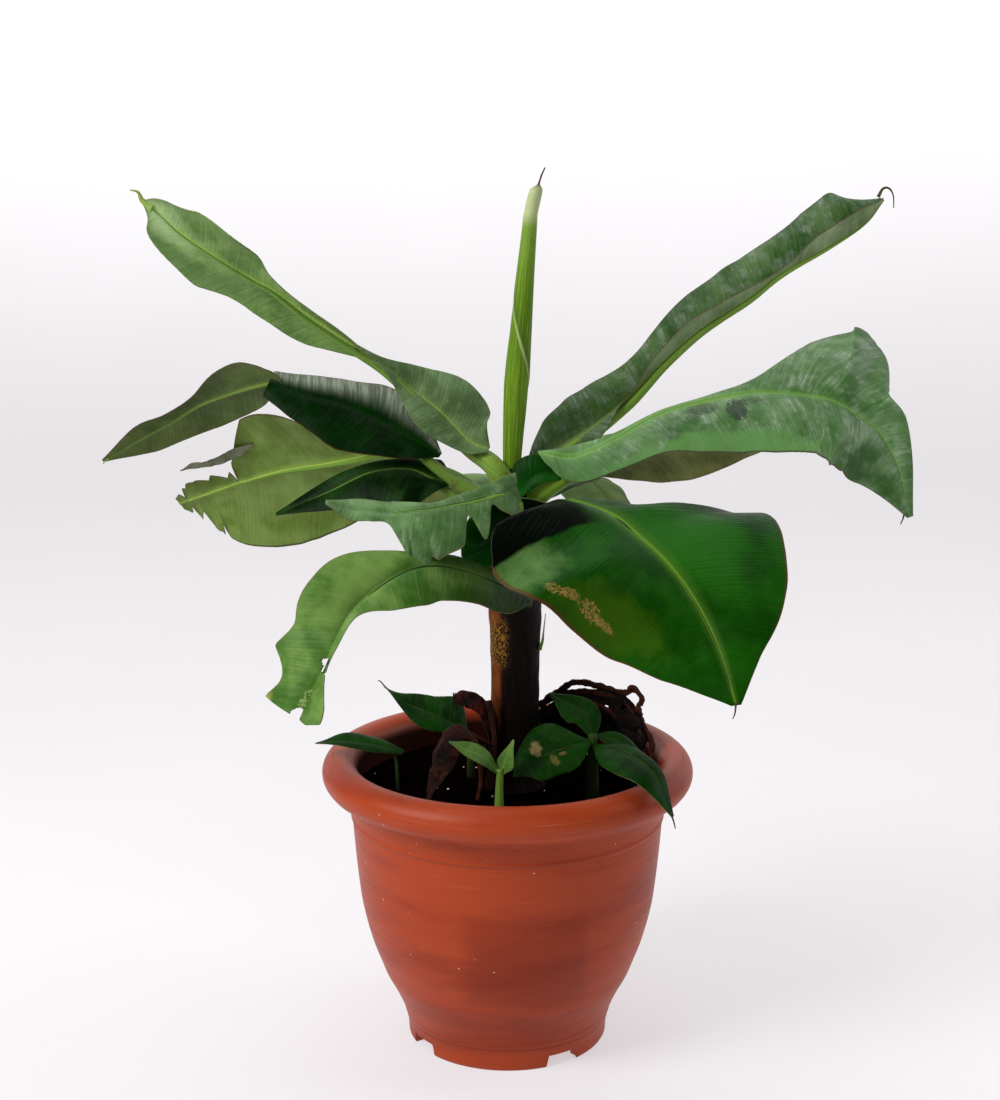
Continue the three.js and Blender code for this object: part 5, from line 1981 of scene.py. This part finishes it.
@dataclass
class Soil:
    """Potting mix with crumbs and pale grains."""

    radius: float = 163.5
    bottom: float = 250.0
    # Segments outwards and round
    grid: tuple[int, int] = (110, 220)
    # Number of chips and grains, and their least and greatest radius
    chips: int = 240
    chip_sizes: tuple[float, float] = (2.0, 5.5)
    chip_seed: int = 21
    grains: int = 26
    grain_sizes: tuple[float, float] = (1.0, 2.2)
    grain_seed: int = 22
    # Strip along the wall that is kept free of them
    free: float = 6.0
    # Share of the grid that is the surface, before it turns down to the bottom
    surface: float = 0.93
    # Greatest random turn of a chip or grain, in radians
    spin: float = 3.1
    # Depth of the surface under the soil's level, and its lumps: height, width and seed
    sunk: float = 2.5
    lumps: Rows = ((2.2, 24, 1), (1.3, 9, 2), (0.7, 4, 3))

    def height(self, x: float, y: float) -> float:
        """Height of the surface at a place, all in millimetres."""
        lump = sum(high * rough(x / wide, y / wide, seed) for high, wide, seed in self.lumps)
        return SOIL_LEVEL - self.sunk + lump

    def build(self) -> None:
        """Make the surface, the crumbs and the grains."""
        mesh, points = unit_grid(*self.grid)
        places = {}
        mesh.verts.index_update()
        for point, t, v in points:
            turn = 2 * math.pi * v
            share = min(t / self.surface, 1.0)
            x, y = self.radius * share * math.cos(turn), self.radius * share * math.sin(turn)
            sunk = (t - self.surface) / (1.0 - self.surface)
            z = self.height(x, y) if sunk <= 0 else self.height(x, y) * (1 - sunk) + self.bottom * sunk
            point.co = Vector((x, y, z)) * MM
            places[point.index] = (x * MM, y * MM, t, v)
        close_tube(mesh, places, 10 * MERGE)
        dark = SoilFinish().material("soil_surface")
        Piece("soil_surface", mesh, [dark], ("soil",), "potting_soil").finish()
        crumbs = SoilFinish().material("soil_chips")
        self.scatter("soil_chips", self.chips, self.chip_sizes, self.chip_seed, crumbs)
        pale = StalkFinish(srgb(214, 208, 196), srgb(232, 228, 220), srgb(120, 104, 84), 0.4, 0.9)
        specks = pale.material("soil_grains", 1.0)
        self.scatter("soil_grains", self.grains, self.grain_sizes, self.grain_seed, specks)

    def scatter(
        self, name: str, count: int, sizes: tuple[float, float], seed: int, material: bpy.types.Material
    ) -> None:
        """Strew small lumps on the surface.

        Args:
            name: Name of the piece.
            count: Number of lumps.
            sizes: Least and greatest radius in millimetres.
            seed: Seed of the places.
            material: Their material.
        """
        chance = random.Random(seed)
        mesh = bmesh.new()
        for _ in range(count):
            reach = (self.radius - self.free) * math.sqrt(chance.uniform(0.05, 1.0))
            turn = chance.uniform(0, 2 * math.pi)
            x, y = reach * math.cos(turn), reach * math.sin(turn)
            size = chance.uniform(*sizes)
            spin = Matrix.Rotation(chance.uniform(0, self.spin), 4, "Z")
            spin = spin @ Matrix.Rotation(chance.uniform(0, self.spin), 4, "X")
            stretch = Matrix.Diagonal((size * MM, size * MM * chance.uniform(0.4, 0.9), size * MM * 0.6, 1.0))
            at = Matrix.Translation(Vector((x, y, self.height(x, y) + size * 0.2)) * MM)
            made = bmesh.ops.create_icosphere(mesh, subdivisions=1, radius=1.0, matrix=at @ spin @ stretch)
            for point in made["verts"]:
                point.co += Vector([chance.uniform(-0.15, 0.15) * size * MM for _ in range(3)])
        mesh.verts.index_update()
        write_layers(mesh, {point.index: (0.0, 0.0, 0.5, 0.5) for point in mesh.verts})
        Piece(name, mesh, [material], (), "potting_soil").finish()


@dataclass
class Threads:
    """Threads at the tips of the leaves: each path with its girth, most of them dry and some still fresh."""

    fresh: tuple[int, ...] = (1, 2)
    paths: tuple[tuple[Rows, float], ...] = (
        (((406, 150, 905), (411, 150, 914), (418, 150, 914), (422.6, 150, 906), (423.6, 150, 893)), 2.2),
        (((-350, -60, 898), (-360, -60, 906), (-364, -60, 914), (-372, -60, 916)), 5.0),
        (((-424, 31, 635), (-428, 30, 632), (-429.5, 30, 629)), 1.6),
        (((414, -15, 590), (413, -16, 580), (410, -16, 572)), 1.6),
        (((163, -149, 304), (166, -152, 296), (168, -153, 288)), 1.4),
        (((-134, 55, 374), (-140, 57, 381), (-143, 57, 382)), 1.0),
        (((214, -239, 446), (213, -241, 436), (211, -241, 430)), 1.2),
    )

    def build(self) -> None:
        """Make the threads."""
        dry = StalkFinish(srgb(92, 78, 44), srgb(46, 38, 28), srgb(40, 28, 18), 0.5, 0.7)
        green = StalkFinish(srgb(140, 170, 84), srgb(132, 152, 66), srgb(84, 70, 30), 0.4, 0.6)
        for i, (path, girth) in enumerate(self.paths):
            name = f"tip_thread_{i + 1}"
            finish = green if i in self.fresh else dry
            mesh = Stalk(path, girth, end=0.5, sides=10, steps_per_span=6).mesh()
            Piece(name, mesh, [finish.material(name, float(i))], (), "leaf_green").finish()


@dataclass
class Studio:
    """Backdrop, lights and camera, in metres, watts and degrees."""

    width: float = 14.0
    run: float = 13.0
    front: float = -4.5
    floor: float = 7.5
    bend: float = 2.5
    bend_radius: float = 1.6
    wall: float = 3.0
    stretch: float = 1.6
    world_light: float = 0.1
    # Name, place, aim, side and power of each light
    lights: tuple[tuple[str, Row, Row, float, float], ...] = (
        ("key", (-2.4, -1.6, 2.4), (0.0, 0.0, 0.5), 1.6, 112.0),
        ("front", (0.6, -3.0, 1.9), (0.0, 0.0, 0.4), 1.8, 12.0),
        ("right", (2.6, 0.4, 1.6), (0.0, 0.0, 0.5), 1.4, 22.0),
        ("top", (0.0, 0.5, 3.2), (0.0, 0.2, 0.0), 2.4, 40.0),
    )
    camera_place: Row = (-0.0081, -1.912, 0.947)
    camera_pitch: float = -11.97
    # Focal length and longer side of the photograph, in pixels
    focal: float = 1850.0
    picture: float = 1100.0
    sensor: float = 36.0

    def build(self) -> None:
        """Make the studio."""
        self.backdrop()
        for light in self.lights:
            self.light(*light)
        world = bpy.data.worlds.new("studio")
        world.use_nodes = True
        world.node_tree.nodes["Background"].inputs[0].default_value = (1.0, 0.99, 1.0, 1.0)
        world.node_tree.nodes["Background"].inputs[1].default_value = self.world_light
        bpy.context.scene.world = world
        self.camera()
        bpy.context.scene.view_settings.view_transform = "Standard"

    def sweep(self, run: float) -> tuple[float, float]:
        """Place of the backdrop's section: floor, bend and wall.

        Args:
            run: Distance from the front edge.

        Returns:
            The depth and the height.
        """
        top = self.floor + self.bend
        if run < self.floor:
            return (self.front + run, 0.0)
        if run < top:
            turn = (run - self.floor) / self.bend * math.pi / 2
            return (
                self.wall + self.bend_radius * math.sin(turn),
                self.bend_radius * (1 - math.cos(turn)),
            )
        return (self.wall + self.bend_radius, self.bend_radius + (run - top) * self.stretch)

    def backdrop(self) -> None:
        """Make the backdrop."""
        mesh, points = unit_grid(80, 90)
        for point, u, v in points:
            point.co = Vector(((u - 0.5) * self.width, *self.sweep(v * self.run)))
        paper = BackdropFinish().material("backdrop")
        smooth_object("backdrop", mesh, [paper])

    def light(self, name: str, place: Row, aim: Row, size: float, power: float) -> None:
        """Add a soft light.

        Args:
            name: Name of the light.
            place: Where it hangs, in metres.
            aim: Where it points.
            size: Side of the square, in metres.
            power: Power in watts.
        """
        data = bpy.data.lights.new(name, "AREA")
        data.size = size
        data.energy = power
        lamp = bpy.data.objects.new(name, data)
        lamp.location = place
        lamp.rotation_euler = (Vector(aim) - Vector(place)).to_track_quat("-Z", "Y").to_euler()
        bpy.context.scene.collection.objects.link(lamp)

    def camera(self) -> None:
        """Add the camera at the viewing angle of the photograph."""
        data = bpy.data.cameras.new("camera")
        data.sensor_width = self.sensor
        data.lens = self.sensor * self.focal / self.picture
        view = bpy.data.objects.new("camera", data)
        view.location = self.camera_place
        view.rotation_euler = (math.radians(90.0 + self.camera_pitch), 0.0, 0.0)
        bpy.context.scene.collection.objects.link(view)
        bpy.context.scene.camera = view


def main() -> None:
    """Build every piece in order."""
    logging.basicConfig(level=logging.INFO, format="%(message)s")
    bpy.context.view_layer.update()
    for part in (Pot(), Soil(), Stem(), Canopy(), Undergrowth(), Threads(), Studio()):
        part.build()


if __name__ == "__main__":
    main()
